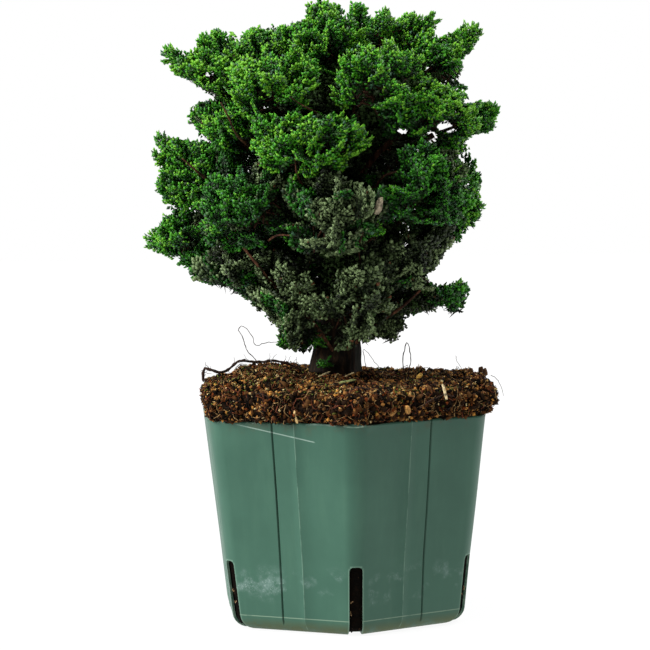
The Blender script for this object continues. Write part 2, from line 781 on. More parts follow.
def leaving_heights(tufts):
    """Where each bough leaves the trunk, so that no two on one side leave too close together."""
    taken = []
    heights = {}
    for tuft in sorted(tufts, key=lambda tuft: tuft.root.z):
        height = SOIL_LEVEL + (tuft.root.z - SOIL_LEVEL) * BOUGH_LEAVES_AT
        for other, level in taken:
            if tuft.outward.dot(other.outward) > BOUGH_SIDE:
                height = max(height, level + BOUGH_SPACING)
        taken.append((tuft, height))
        heights[tuft.name] = height
    return heights


# Bark

TRUNK_TONES = ((8, 6, 4), (24, 18, 12), (44, 32, 21), (76, 54, 36))
BOUGH_TONES = ((22, 13, 9), (56, 33, 22), (92, 58, 40), (136, 98, 72))
TONE_PLACES = (0.30, 0.46, 0.58, 0.74)
MOSS_TONE = (24, 32, 16)
TRUNK_ROUGHNESS = 0.75 * MM
BOUGH_ROUGHNESS = 0.35 * MM
STEM_ROUGHNESS = 0.25 * MM
TRUNK_STEP = 1.3 * MM


def bark_finish(name, tones, mossy):
    finish = Finish(name, roughness=0.9, gloss=0.2)
    strips = finish.cloud(2.2 * MM, 5, 0.62, finish.stretched_place(1, 1, 0.16))
    patches = finish.cloud(14 * MM, 3)
    stops = tuple(zip(TONE_PLACES, tones))
    colour = finish.node("ShaderNodeValToRGB", {"stops": stops}, strips)
    moss = patches.between(0.50, 0.62) * mossy
    finish.set("Base Color", finish.mix(moss, colour, MOSS_TONE))
    finish.relief(strips, 0.9 * MM, 0.8)
    return finish


def bark_relief(path, rough):
    """How far bark stands out at a ring and a turn round a limb."""
    def radius_at(index, turn, radius):
        spot = path[index]
        around = towards(turn) * radius
        along = Vector((around.x, around.y, spot.z * 0.14)) + spot * 0.02
        strips = noise.noise(along / (1.9 * MM))
        lumps = noise.noise((around + Vector((0, 0, spot.z))) / (9 * MM))
        return radius + rough * (strips * 0.8 + lumps * 0.9)
    return radius_at


def make_trunk(bark):
    heights = [SOIL_LEVEL - 0.2 * MM]
    while heights[-1] < TRUNK_TOP:
        heights.append(min(heights[-1] + TRUNK_STEP, TRUNK_TOP))
    path = [trunk_line(height) for height in heights]
    radii = [trunk_radius(max(height, SOIL_LEVEL)) for height in heights]
    rough = bark_relief(path, TRUNK_ROUGHNESS)

    def flared(index, turn, radius):
        height = heights[index]
        fade = math.exp(-(height - SOIL_LEVEL) / (2 * FLARE_HEIGHT))
        lobe = math.cos(FLARE_LOBES * turn + FLARE_LOBE_TURN)
        return rough(index, turn, radius) + lobe * fade * FLARE_LOBE_DEPTH

    heap = Heap()
    heap.add(*tube(path, radii, 64, flared))
    trunk = heap.object("trunk_bark", bark)
    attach(trunk, "root")
    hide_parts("trunk")


def make_boughs(tufts, bark):
    carried = [tuft for tuft in tufts if tuft.on_bough]
    heights = leaving_heights(carried)
    heap = Heap()
    for tuft in carried:
        leaves = heights[tuft.name]
        start = trunk_line(leaves)
        reach = (tuft.root - start).length
        end = tuft.root + UP * BOUGH_LIFTS.get(tuft.name, 0)
        path = bent_path(start, end - tuft.growth * (reach * BOUGH_BEND), end, 30)
        thick = trunk_radius(leaves) * BOUGH_START_SHARE
        radii = []
        for step in range(len(path)):
            t = step / (len(path) - 1)
            radii.append(thick + (BOUGH_TIP_RADIUS - thick) * t ** BOUGH_TAPER_POWER)
        heap.add(*tube(path, radii, 14, bark_relief(path, BOUGH_ROUGHNESS)))
    boughs = heap.object("bough_bark", bark)
    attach(boughs, "root")
    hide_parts(*[f"bough_{tuft.name}" for tuft in carried])


def make_bare_stems(bark):
    heap = Heap()
    for thick, thin, points in BARE_STEMS:
        path = [point * MM for point in smooth_route(points)]
        radii = np.linspace(thick, thin, len(path)) * MM / 2
        heap.add(*tube(path, radii, 10, bark_relief(path, STEM_ROUGHNESS)))
    stems = heap.object("bare_stems", bark)
    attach(stems, "root")


# Foliage

FINGER_POINTS = np.array((
    (0, 0, -0.22), (0.64, -0.5, 0.30), (0.64, 0.5, 0.30), (1.0, 0, -0.14),
))
FINGER_FACES = facing_out(FINGER_POINTS, ((0, 1, 2), (3, 1, 2), (0, 1, 3), (0, 2, 3)))
FINGER_TIP = 3
STALK = -1.0

# A spray of unit length: where its side stalks leave, and the size and spacing of its fingers.
SIDE_STALKS = (0.14, 0.22, 0.29, 0.37, 0.44, 0.51, 0.59, 0.66, 0.74, 0.81, 0.88)
FINGER_LENGTH = 0.185
FINGER_WIDTH = 0.112
FINGER_STRIDE = 0.092
STALK_WIDTH = 0.06


def spray_pattern(seed):
    """One spray of unit length: each finger's root, tip, width, how far towards the margin it
    lies and its tilt. The spray's stalks are listed as fingers too, with the margin STALK."""
    chance = random.Random(seed)
    bend = chance.uniform(-0.3, 0.3)
    curl = chance.uniform(0.15, 0.75)
    fingers = []

    def along(t):
        return Vector((t, bend * t * t / 2, 0))

    def add_finger(root, heading, length, width, margin):
        tip = root + towards(heading) * length
        tip.z += chance.uniform(-0.3, 0.45) * length
        fingers.append((root, tip, width, margin))

    for number, t in enumerate(SIDE_STALKS):
        side = 1 if number % 2 else -1
        start = along(t)
        heading = bend * t + side * math.radians(54 - 24 * t + chance.uniform(-8, 8))
        reach = (0.50 * (1 - t) ** 0.6 + 0.05) * chance.uniform(0.85, 1.12)
        turn = -side * chance.uniform(0.1, 0.5)
        lift = chance.uniform(-0.16, 0.2)
        count = max(1, round(reach / FINGER_STRIDE))
        stride = reach / count
        spot = start
        for step in range(count):
            heading += turn / count
            spot = spot + towards(heading, lift) * stride
            aside = (1 if (step + number) % 2 else -1) * math.radians(chance.uniform(34, 58))
            margin = 0.8 * (t + (1 - t) * (step + 1) / count)
            length = FINGER_LENGTH * chance.uniform(0.85, 1.15)
            root = spot - towards(heading) * stride * 0.5
            add_finger(
                root, heading + aside, length, FINGER_WIDTH * chance.uniform(0.85, 1.1), margin
            )
        add_finger(spot, heading, length * 1.05, 0.118, 1.0)
        add_finger(spot, heading - aside, length * 0.8, 0.105, 0.95)
        fingers.append((start, spot, STALK_WIDTH, STALK))
    for aside in (-0.55, 0.0, 0.5):
        add_finger(along(0.9), bend * 0.9 + aside, FINGER_LENGTH, 0.115, 1.0)
    fingers.append((along(0), along(0.55), 0.075, STALK))
    fingers.append((along(0.35), along(0.98), 0.065, STALK))

    def cupped(point):
        sink = curl * (0.5 * point.y ** 2 + 0.3 * point.x ** 2)
        return Vector((point.x, point.y, point.z - sink))

    roots = np.array([cupped(root) for root, _, _, _ in fingers])
    tips = np.array([cupped(tip) for _, tip, _, _ in fingers])
    widths = np.array([width for _, _, width, _ in fingers])
    margins = np.array([margin for _, _, _, margin in fingers])
    tilts = np.array([
        (chance.uniform(-0.6, 0.6), chance.uniform(-0.6, 0.6), 1.0) for _ in fingers
    ])
    return roots, tips, widths, margins, tilts


def side_vector(direction):
    side = direction.cross(UP)
    return side.normalized() if side.length > 0.05 else Vector((1, 0, 0))


def twig_directions(tuft, count, phase):
    first = side_vector(tuft.growth)
    second = tuft.growth.cross(first)
    for step in range(count):
        rise = 1 - (step + TWIG_FIRST) / count * TWIG_SPREAD
        spread = math.sqrt(max(0, 1 - rise * rise))
        turn = phase + step * GOLDEN_TURN
        yield (
            tuft.growth * rise
            + first * (spread * math.cos(turn))
            + second * (spread * math.sin(turn))
        )


def covered(point, tuft, tufts, within=0.92):
    """Whether a point lies in the foliage of another tuft."""
    return any(
        other is not tuft and other.share_of(point - other.centre) < within for other in tufts
    )


def in_hollow(point):
    for middle, half in HOLLOWS:
        offset = point / MM - Vector(middle)
        if Vector(o / h for o, h in zip(offset, half)).length < 1:
            return True
    return False


EDGE_STARTS = np.array(OUTLINE)
EDGE_ENDS = np.roll(EDGE_STARTS, -1, axis=0)
GAPS = np.array(SKY_GAPS)


def seen_from_front(points):
    """Where points come on the trunk's plane, seen by the eye: x and height, in mm."""
    nearer = -EYE.y / (points[:, 1] - EYE.y)
    return points[:, 0] * nearer / MM, (EYE.z + (points[:, 2] - EYE.z) * nearer) / MM


def in_open_sky(points):
    """Which points lie outside the crown's outline or in one of its gaps."""
    x, z = seen_from_front(points)
    x0, z0 = EDGE_STARTS[:, 0], EDGE_STARTS[:, 1]
    x1, z1 = EDGE_ENDS[:, 0], EDGE_ENDS[:, 1]
    level = z[:, None]
    crossed = (z0 > level) != (z1 > level)
    rise = np.where(z1 == z0, 1, z1 - z0)
    crossed &= x[:, None] < x0 + (level - z0) * (x1 - x0) / rise
    outside = crossed.sum(1) % 2 == 0
    gap_x, gap_z, half_x, half_z = GAPS.T
    across = (x[:, None] - gap_x) / half_x
    above = (level - gap_z) / half_z
    return outside | (across ** 2 + above ** 2 < 1).any(1)


def unit(vectors):
    return vectors / np.linalg.norm(vectors, axis=-1, keepdims=True)


def finger_corners(roots, ahead, across, up):
    """The corners of each finger, from its root and how far it goes ahead, across and up."""
    return (
        roots[:, None]
        + FINGER_POINTS[:, 0:1] * ahead[:, None]
        + FINGER_POINTS[:, 1:2] * across[:, None]
        + FINGER_POINTS[:, 2:3] * up[:, None]
    )


def laid_out(pattern, tip, direction, face, size, side=1):
    """The points of every finger of a spray whose middle finger ends at the tip."""
    roots, tips, widths, _, tilts = pattern
    x = np.array(direction)
    z = np.array(face) - x * float(np.dot(face, x))
    z /= np.linalg.norm(z)
    turn = np.stack((x, np.cross(z, x) * side, z)) * size
    root = roots @ turn + np.array(tip) - x * size
    ahead = (tips - roots) @ turn
    heading = unit(ahead)
    up = tilts @ turn
    up = unit(up - heading * (up * heading).sum(1)[:, None])
    wide = (widths * size)[:, None]
    return finger_corners(root, ahead, np.cross(up, heading) * wide, up * wide)


def thinned(pattern):
    """The spray with only a few broad fingers."""
    roots, tips, widths, margins, tilts = (part[::INNER_EVERY] for part in pattern)
    return roots, tips, widths * INNER_BROADER, margins, tilts


def finger_colours(margins, light, bright, rng, chance):
    """The name of each finger's colour: fresher towards the spray's margin and in the light."""
    count = len(margins)
    glow = light * (0.25 + 0.75 * bright) + chance.gauss(0, 0.07)
    edge = margins + rng.normal(0, 0.10, count)
    young = glow > YOUNG_FROM
    if young:
        row, sheen = YOUNG, "blue_green"
        steps = 0.8 + 3.4 * glow + (edge - 0.55) * (2.6 + 3.4 * glow)
        steps += rng.normal(0, 0.35, count)
    else:
        row, sheen = OLD, "old_grey"
        steps = 1.1 + 2.4 * light + (edge - 0.6) * 3.4 + rng.normal(0, 0.6, count)
        steps += chance.gauss(0, 0.8)
    steps = np.clip(np.round(steps), 0, len(row) - 1).astype(int)
    names = np.array(row, dtype=object)[steps]
    names[(rng.random(count) > 1 - SHEEN_SHARE) & (steps > 1)] = sheen
    if young:
        dull = (rng.random(count) < DULL_SHARE) & (steps > 1)
        names[dull] = np.array(DULL, dtype=object)[steps[dull]]
        names[(margins < 0.5) & (rng.random(count) < BLUE_SHARE)] = "blue_green"
    else:
        names[rng.random(count) < DRY_SHARE] = "dry"
    names[margins == STALK] = "stalk"
    return names


class Foliage:
    """All the sprays, fans and twigs of the crown, gathered by colour."""

    def __init__(self, tufts):
        self.tufts = tufts
        self.patterns = [spray_pattern(SEEDS["spray"] + k) for k in range(SPRAY_PATTERNS)]
        self.thin_patterns = [thinned(pattern) for pattern in self.patterns]
        self.fingers = {name: Heap() for name in (*YOUNG, *OLD, *OTHER_COLOURS)}
        self.inner = {name: Heap() for name in INNER_COLOURS}
        self.twigs = Heap()
        self.stalks = Heap()
        self.stems = np.concatenate([
            np.array([tuple(point) for point in smooth_route(points)]) * MM
            for _, _, points in BARE_STEMS
        ])
        self.stem_x, self.stem_z = seen_from_front(self.stems)

    def light_at(self, tip, tuft, direction):
        """How much light a spray's tip gets, from 0 deep inside to 1 in the open on top."""
        light = 1.0
        for distance, sideways, loss in LIGHT_PROBES:
            if covered(tip + (UP + tuft.outward * sideways) * distance, tuft, self.tufts):
                light -= loss
        return light - UNDERSIDE_LOSS * max(0.0, -direction.z)

    def hides_stem(self, points):
        """Which points lie just in front of a bare stem."""
        x, z = seen_from_front(points)
        aside = np.hypot(x[:, None] - self.stem_x, z[:, None] - self.stem_z) * MM
        before = points[:, 1:2] < self.stems[:, 1] + STEM_CLEARANCE
        return ((aside < STEM_CLEARANCE) & before).any(1)

    def add_spray(self, tip, direction, face, size, light, bright, rng, chance, trimmed=True):
        """One spray whose middle finger ends at the tip. False where it would hang in the sky."""
        pattern = chance.choice(self.patterns)
        points = laid_out(pattern, tip, direction, face, size, chance.choice((-1, 1)))
        margins = pattern[3]
        middle = points.mean(1)
        keep = ~(self.hides_stem(middle) & (rng.random(len(middle)) < STEM_SHOWS))
        if trimmed:
            ends = (middle + points[:, FINGER_TIP]) / 2
            keep &= ~in_open_sky(ends + rng.normal(0, RAGGED, ends.shape))
        if keep.mean() < LEAST_KEPT:
            return False
        points = points[keep]
        names = finger_colours(margins[keep], light, bright, rng, chance)
        for name in set(names):
            heap = self.stalks if name == "stalk" else self.fingers[name]
            heap.add(points[names == name], FINGER_FACES)
        return True

    def add_fan(self, tip, direction, size, chance):
        """A small shaded spray well inside the crown."""
        face = random_vector(chance)
        points = laid_out(chance.choice(self.thin_patterns), tip, direction, face, size)
        points = points[~in_open_sky(points.mean(1))]
        if len(points):
            self.inner[chance.choice(tuple(INNER_COLOURS))].add(points, FINGER_FACES)

    def add_twig(self, start, end, radii, sag=0.0, trimmed=True):
        if trimmed and in_open_sky(np.array((tuple(end), tuple(start.lerp(end, 0.6))))).any():
            return
        path = bent_path(start, start.lerp(end, 0.5) - UP * sag, end, 4)
        self.twigs.add(*tube(path, np.linspace(*radii, 4), 4))

    def grow(self, tuft, seed):
        """One tuft: its stem, twigs that fork from its heart, and the sprays on each."""
        chance = random.Random(seed)
        rng = np.random.default_rng(seed)
        heart = tuft.root.lerp(tuft.centre, HEART_SHARE)
        root = tuft.root + UP * BOUGH_LIFTS.get(tuft.name, 0)
        self.add_twig(root, heart, STEM_RADII)
        count = round(TWIGS_A_TUFT * (max(tuft.half) / USUAL_HALF_WIDTH) ** 1.5) + 2
        if tuft.old:
            count = round(count / OLD_SPRAY_SIZE ** 1.5)
        for direction in twig_directions(tuft, count, chance.uniform(0, math.tau)):
            bunch = chance.choice(BUNCHES)
            tip, _ = tuft.pulled_in(tuft.centre + tuft.stretched(direction) * bunch)
            fork = heart.lerp(tip, TWIG_SHARE)
            self.add_twig(heart, fork, TWIG_RADII, chance.uniform(-1, 1) * MM)
            roll = Matrix.Rotation(chance.uniform(-FAN_ROLL, FAN_ROLL), 3, direction)
            face = roll @ direction.cross(side_vector(direction))
            self.fan_out(tuft, fork, direction, face, bunch, rng, chance)
        for _ in range(INNER_FANS_A_TUFT):
            direction = random_vector(chance).normalized()
            reach = chance.uniform(*INNER_REACH)
            tip, _ = tuft.pulled_in(tuft.centre + tuft.stretched(direction) * reach)
            way = (tip - tuft.centre).normalized()
            self.add_fan(tip, way, chance.uniform(*INNER_LENGTHS), chance)

    def fan_out(self, tuft, fork, direction, face, bunch, rng, chance):
        """The sprays of one twig, swung to both sides of its direction."""
        across = direction.cross(face)
        least, most, laid_flat = OLD_LIE if tuft.old else YOUNG_LIE
        for place in range(FANS_A_TWIG):
            swing = FAN_SWING * (place - (FANS_A_TWIG - 1) / 2)
            swing += chance.uniform(-FAN_JITTER, FAN_JITTER)
            lean = Matrix.Rotation(chance.uniform(-FAN_LEAN, FAN_LEAN), 3, across)
            aim = lean @ (Matrix.Rotation(swing, 3, face) @ direction)
            reach = bunch * (1.02 - 0.10 * abs(swing) + chance.uniform(-0.06, 0.05))
            tip, share = tuft.pulled_in(tuft.centre + tuft.stretched(aim) * reach)
            way = tip - fork
            size = chance.uniform(*SPRAY_LENGTHS) * (OLD_SPRAY_SIZE if tuft.old else 1)
            size = min(size, way.length * LONGEST_OF_WAY)
            way = (way.normalized() + UP * chance.uniform(least, most)).normalized()
            flat = aim - way * aim.dot(way)
            shown = flat if chance.random() < laid_flat and flat.length > 0.2 else face
            if share < LEAST_SHARE or size < LEAST_SPRAY or in_hollow(tip):
                continue
            if covered(tip + aim * PROBE_AHEAD, tuft, self.tufts, WELL_INSIDE):
                continue
            fullness = noise.noise(tip / GAP_SIZE)
            if fullness < GAP_BELOW:
                continue
            spin = Matrix.Rotation(chance.uniform(-SPRAY_SPIN, SPRAY_SPIN), 3, way)
            patch = max(DARKEST_PATCH, min(BRIGHTEST_PATCH, fullness * PATCH_DEPTH))
            light = self.light_at(tip, tuft, way) + patch
            if self.add_spray(tip, way, spin @ shown, size, light, tuft.bright, rng, chance):
                self.add_twig(fork, tip - way * size * SPRAY_HELD_AT, SPRAY_TWIG_RADII)

    def fill_core(self):
        """Shaded growth round the trunk, seen only through the hollows."""
        chance = random.Random(SEEDS["core"])
        for _ in range(CORE_FANS):
            direction = random_vector(chance).normalized()
            reach = chance.uniform(0.35, 1)
            offset = Vector(d * h * reach for d, h in zip(direction, CORE_HALF))
            way = Vector((offset.x, offset.y, offset.z * 0.3)).normalized()
            self.add_fan(CORE_MIDDLE + offset, way, chance.uniform(*INNER_LENGTHS), chance)

    def shoot(self, number, tip, heading, count, size, bright):
        """A few sprays on a twig of their own, which comes from inside the crown."""
        seed = SEEDS["shoot"] + number
        chance = random.Random(seed)
        rng = np.random.default_rng(seed)
        tip = Vector(tip) * MM
        heading = Vector(heading).normalized()
        fork = tip - heading * (size * SHOOT_FORKS_AT * MM)
        self.add_twig(fork - heading * SHOOT_INSIDE, fork, SHOOT_RADII, trimmed=False)
        for place in range(count):
            turn = GOLDEN_TURN * place + number
            first = side_vector(heading)
            around = first * math.cos(turn) + heading.cross(first) * math.sin(turn)
            spread = 0.16 + 0.40 * math.sqrt(place / count)
            way = (heading + around * spread).normalized()
            length = size * chance.uniform(0.85, 1.1) * MM
            end = tip - heading * (3.2 * MM * place / count)
            end += around * (spread * size * 0.55 * MM)
            roll = Matrix.Rotation(chance.uniform(-FAN_ROLL, FAN_ROLL), 3, way)
            face = roll @ way.cross(side_vector(way))
            self.add_spray(end, way, face, length, 1.0, bright, rng, chance, trimmed=False)
            self.add_twig(
                fork, end - way * length * SPRAY_HELD_AT, SPRAY_TWIG_RADII, trimmed=False
            )

    def objects(self):
        masses = [f"mass_{tuft.name}" for tuft in self.tufts]
        colours = {**YOUNG_COLOURS, **OLD_COLOURS, **OTHER_COLOURS}
        made = []
        for name, heap in self.fingers.items():
            finish = Finish(f"leaf_{name}", 0.5, colours[name], gloss=0.3)
            slot = "foliage_light" if name in FRESH else "foliage_deep"
            made += [(piece, slot) for piece in pieces_of(heap, f"leaves_{name}", finish)]
        for name, heap in self.inner.items():
            finish = Finish(f"leaf_{name}", 0.7, INNER_COLOURS[name], gloss=0.15)
            made.append((heap.object(f"leaves_{name}", finish), "foliage_deep"))
        bark = mottled_finish("twig_bark", 0.8, (58, 36, 24), 0.2)
        made += [(piece, "bark") for piece in pieces_of(self.twigs, "twigs", bark)]
        green = Finish("stalk_green", 0.6, (26, 42, 20), gloss=0.3)
        stalks = pieces_of(self.stalks, "leaf_stalks", green)
        made += [(piece, "foliage_deep") for piece in stalks]
        for piece, slot in made:
            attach(piece, "root")
            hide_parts(*masses)


def pieces_of(heap, name, finish):
    """The heap as one piece, or as a few that each stay under the most triangles."""
    parts = [Heap()]
    total = 0
    for points, faces in zip(heap.points, heap.faces):
        if total + len(faces) > MOST_TRIANGLES:
            parts.append(Heap())
            total = 0
        parts[-1].add(points, faces - faces.min())
        total += len(faces)
    return [part.object(f"{name}_{number + 1}", finish) for number, part in enumerate(parts)]


def make_foliage(tufts):
    foliage = Foliage(tufts)
    for number, tuft in enumerate(tufts):
        foliage.grow(tuft, SEEDS["tuft"] + number)
    for number, shoot in enumerate(SHOOTS):
        foliage.shoot(number, *shoot)
    foliage.fill_core()
    foliage.objects()


# Pot

def raise_face(bm, face, keep=False):
    """Extrudes a face, and gives the new face and its points."""
    grown = bmesh.ops.extrude_face_region(bm, geom=[face])["geom"]
    if not keep:
        bmesh.ops.delete(bm, geom=[face], context="FACES_ONLY")
    raised = next(item for item in grown if isinstance(item, bmesh.types.BMFace))
    return raised, list(raised.verts)


# Marks on the pot, as heights, and the places of the lines up its sides.
FOOT_SEAM = 7.3 * MM
LINE_ASIDE = 5.7 * MM
SCRATCH_HEIGHT = 99 * MM
SCRATCH_FALL = 0.2
SCRATCH_FROM = -52 * MM
CHALK = (146, 168, 164)


def scuffed(finish, colour, z):
    """A chalky, scuffed band above the foot, and how strong its scuffs are."""
    speckle = finish.cloud(1.0 * MM, 6, 0.75).between(0.53, 0.66)
    where = finish.cloud(15 * MM, 3, 0.6).between(0.49, 0.64)
    band = z.between(13 * MM, 19 * MM) * (1 - z.between(23 * MM, 34 * MM))
    haze = where * band * finish.cloud(3.5 * MM, 5, 0.7).between(0.30, 0.75)
    scuffs = speckle * where * band
    colour = finish.mix(haze * 0.46, colour, CHALK)
    return finish.mix(scuffs * 0.6, colour, (160, 178, 174)), scuffs


def dirtied(finish, colour, z):
    """The worn seam round the foot, dirt below it and dust under the rim."""
    seam_wear = finish.cloud(6 * MM, 3, 0.6).between(0.18, 0.52)
    seam = z.near(FOOT_SEAM, 0.08 * MM, 0.34 * MM) * seam_wear
    colour = finish.mix(seam * 0.55, colour, (142, 164, 140))
    foot_patches = finish.cloud(9 * MM, 5, 0.7).between(0.26, 0.56)
    dirt = (1 - z.between(1.5 * MM, 7.6 * MM)) * foot_patches
    colour = finish.mix(dirt * 0.7, colour, (80, 84, 46))
    rim_patches = finish.cloud(6 * MM, 5, 0.7).between(0.48, 0.68)
    dust = z.between(92 * MM, 99 * MM) * rim_patches
    return finish.mix(dust * 0.4, colour, (78, 68, 44)), dirt


def scratch_line(x, y, z):
    """One long scratch that falls from left to right under the rim, on the front."""
    line = (z + (x - SCRATCH_FROM) * SCRATCH_FALL).near(SCRATCH_HEIGHT, 0.10 * MM, 0.40 * MM)
    ends = (1 - x.between(-13.4 * MM, -12.0 * MM)) * x.between(-54 * MM, -40 * MM)
    return line * (1 - y.between(-8 * MM, 0.0)) * ends


def lined(finish, colour, x, y, z):
    """Pale edges round the slits, and the rib and groove that run up each side."""
    azimuth = finish.maths("ARCTAN2", y, x)
    from_axis = finish.maths("SQRT", x * x + y * y)
    from_corner = finish.maths(
        "PINGPONG", azimuth - (POT_TURN + math.pi / 6 - 4 * math.pi), math.pi / 6
    )
    aside = finish.maths("SINE", from_corner) * from_axis
    sides = aside.near(SLIT_WIDTH / 2, 0.2 * MM, 0.75 * MM)
    sides = sides * (1 - z.between(SLIT_HEIGHT - 1.5 * MM, SLIT_HEIGHT))
    top = z.near(SLIT_HEIGHT, 0.2 * MM, 0.8 * MM)
    top = top * (1 - aside.between(SLIT_WIDTH / 2 - 0.6 * MM, SLIT_WIDTH / 2))
    edges = finish.maths("MAXIMUM", sides, top)
    colour = finish.mix(edges * 0.5, colour, (116, 148, 128))
    across_side = finish.maths(
        "PINGPONG", azimuth - (POT_TURN + math.radians(270) - 6 * math.pi), math.pi / 3
    )
    from_middle = finish.maths("SINE", across_side - math.pi / 6) * from_axis
    rib_wear = finish.cloud(11 * MM, 4, 0.7).between(0.34, 0.60) * z.between(1 * MM, 3 * MM)
    rib = from_middle.near(-LINE_ASIDE, 0.12 * MM, 0.34 * MM) * rib_wear
    colour = finish.mix(rib * 0.42, colour, (128, 160, 140))
    groove = from_middle.near(LINE_ASIDE, 0.25 * MM, 0.6 * MM) * z.between(3 * MM, 5 * MM)
    return finish.mix(groove * 0.45, colour, (22, 40, 28))


def pot_finish():
    finish = Finish("pot_plastic", roughness=0.4, gloss=0.32)
    x, y, z = finish.axis("X"), finish.axis("Y"), finish.axis("Z")
    film = finish.cloud(38 * MM, 4, 0.6)
    streaks = finish.cloud(5 * MM, 4, 0.6, finish.stretched_place(1, 1, 0.12))
    colour = finish.mix(film.between(0.3, 0.75), (50, 88, 72), (58, 97, 80))
    colour = finish.mix(streaks.between(0.45, 0.8) * 0.3, colour, (68, 106, 86))
    colour, scuffs = scuffed(finish, colour, z)
    colour, dirt = dirtied(finish, colour, z)
    scratch = scratch_line(x, y, z)
    colour = finish.mix(scratch * 0.7, colour, (150, 172, 160))
    finish.set("Base Color", lined(finish, colour, x, y, z))
    finish.set("Roughness", 0.38 + film * 0.12 + scuffs * 0.3 + dirt * 0.25)
    fine = finish.cloud(0.7 * MM, 4, 0.6)
    finish.relief(film * 0.8 + fine * 0.05 - scratch * 0.1, 0.6 * MM, 0.5)
    return finish


def pot_edge_finish():
    finish = Finish("pot_cut_edge", roughness=0.5, gloss=0.35)
    wear = finish.cloud(3 * MM, 4, 0.65)
    finish.set("Base Color", finish.mix(wear.between(0.35, 0.7), (74, 108, 90), (134, 158, 138)))
    finish.relief(wear, 0.2 * MM, 0.6)
    return finish


# Lines up each side of the pot, as a place across it and how far it stands out: a groove on
# one side of its middle and a fine rib on the other.
GROOVE_HALF = 0.6 * MM
GROOVE_DEPTH = 0.75 * MM
RIB_HALF = 0.4 * MM
RIB_RISE = 0.22 * MM
SIDE_LINES = (
    (-20 * MM, 0), (-13 * MM, 0), (-LINE_ASIDE - GROOVE_HALF, 0), (-LINE_ASIDE, -GROOVE_DEPTH),
    (-LINE_ASIDE + GROOVE_HALF, 0), (-2 * MM, 0), (2 * MM, 0), (LINE_ASIDE - RIB_HALF, 0),
    (LINE_ASIDE, RIB_RISE), (LINE_ASIDE + RIB_HALF, 0), (13 * MM, 0), (20 * MM, 0),
)
POT_LEVELS = (11, 16, 24, 34, 45, 56, 67, 78, 88, 95, 98.6, 100)
FOOT_STEPS = 6
BAND_FROM = 3 * MM
POT_WARP = 0.4 * MM
WARP_FROM = 8 * MM
POT_DISH = 1.0 * MM
DISH_HALF = 30 * MM
RIM_DIP = 1.3 * MM
RIM_DIP_REACH = 9 * MM
FRONT_CORNER = Vector((6.6, -73.0, 100)) * MM
CLOSE = 0.02 * MM


def side_frame(number):
    """The outward direction of a flat side, and the one across it, from its groove to its rib."""
    outward = towards(POT_TURN + math.pi / 3 * number)
    return outward, UP.cross(outward) * (1 if number % 2 == 0 else -1)


def corner_frame(number):
    """The outward and sideways directions of a corner, where a slit is."""
    outward = towards(math.pi / 2 + POT_TURN + number * math.pi / 3)
    return outward, UP.cross(outward)


def pot_flats(height):
    return POT_BASE_FLATS + (POT_TOP_FLATS - POT_BASE_FLATS) * height / POT_HEIGHT


def draw_underside(bm):
    """A rounded hexagon with points where the lines of its sides start, and its width."""
    flats = pot_flats(0) - 2 * POT_BASE_RADIUS
    bmesh.ops.create_circle(
        bm, cap_ends=True, segments=6, radius=flats / 2 / math.cos(math.pi / 6),
        matrix=Matrix.Rotation(POT_TURN, 4, "Z"),
    )
    bmesh.ops.bevel(
        bm, geom=bm.verts[:], offset=POT_CORNER_RADIUS * math.tan(math.pi / 6), segments=8,
        affect="VERTICES", profile=0.5, material=-1,
    )
    for number in range(6):
        outward, across = side_frame(number)
        long_edge = max(
            bm.edges, key=lambda edge: (edge.verts[0].co + edge.verts[1].co).dot(outward)
        )
        made = bmesh.ops.subdivide_edges(bm, edges=[long_edge], cuts=len(SIDE_LINES))
        points = [item for item in made["geom_inner"] if isinstance(item, bmesh.types.BMVert)]
        points.sort(key=lambda point: point.co.dot(across))
        for point, (line, _) in zip(points, SIDE_LINES):
            point.co += across * (line - point.co.dot(across))
    return next(iter(bm.faces)), flats


def foot_rings():
    """The round foot: each ring's height, and how far it lies inside the sides."""
    for step in range(1, FOOT_STEPS + 1):
        turn = math.pi / 2 * step / FOOT_STEPS
        yield POT_BASE_RADIUS * (1 - math.cos(turn)), POT_BASE_RADIUS * (1 - math.sin(turn))


def raise_sides(bm, lid, flats):
    """Raises the underside ring by ring to an open rim. The lines stay as far apart."""
    height = 0
    rings = [*foot_rings(), *((level * MM, 0) for level in POT_LEVELS)]
    for ring, (level, inset) in enumerate(rings):
        lid, raised = raise_face(bm, lid, keep=ring == 0)
        size = pot_flats(level) - 2 * inset
        widen = size / flats
        flats = size
        bmesh.ops.scale(bm, vec=(widen, widen, 1), verts=raised)
        bmesh.ops.translate(bm, vec=UP * (level - height), verts=raised)
        height = level
        for number in range(6):
            outward, across = side_frame(number)
            for vert in raised:
                if vert.co.dot(outward) < size / 2 - CLOSE:
                    continue
                aside = vert.co.dot(across)
                line = min(SIDE_LINES, key=lambda entry: abs(entry[0] * widen - aside))[0]
                if abs(line * widen - aside) < CLOSE:
                    vert.co += across * (line - aside)
    bmesh.ops.recalc_face_normals(bm, faces=bm.faces[:])
    bmesh.ops.delete(bm, geom=[lid], context="FACES_ONLY")


def press_sides(bm):
    """Presses the grooves in and the ribs out, and dishes each side a little."""
    for number in range(6):
        outward, across = side_frame(number)
        for vert in bm.verts:
            from_side = abs(vert.co.dot(outward) - pot_flats(vert.co.z) / 2)
            if vert.co.z < BAND_FROM or from_side > 0.3 * MM:
                continue
            aside = vert.co.dot(across)
            rises = [rise for line, rise in SIDE_LINES if abs(line - aside) < CLOSE / 2]
            above = min(1, (vert.co.z - BAND_FROM) / DISH_HALF)
            bowl = max(0, 1 - (aside / DISH_HALF) ** 2) * above
            vert.co += outward * (sum(rises) - POT_DISH * bowl)


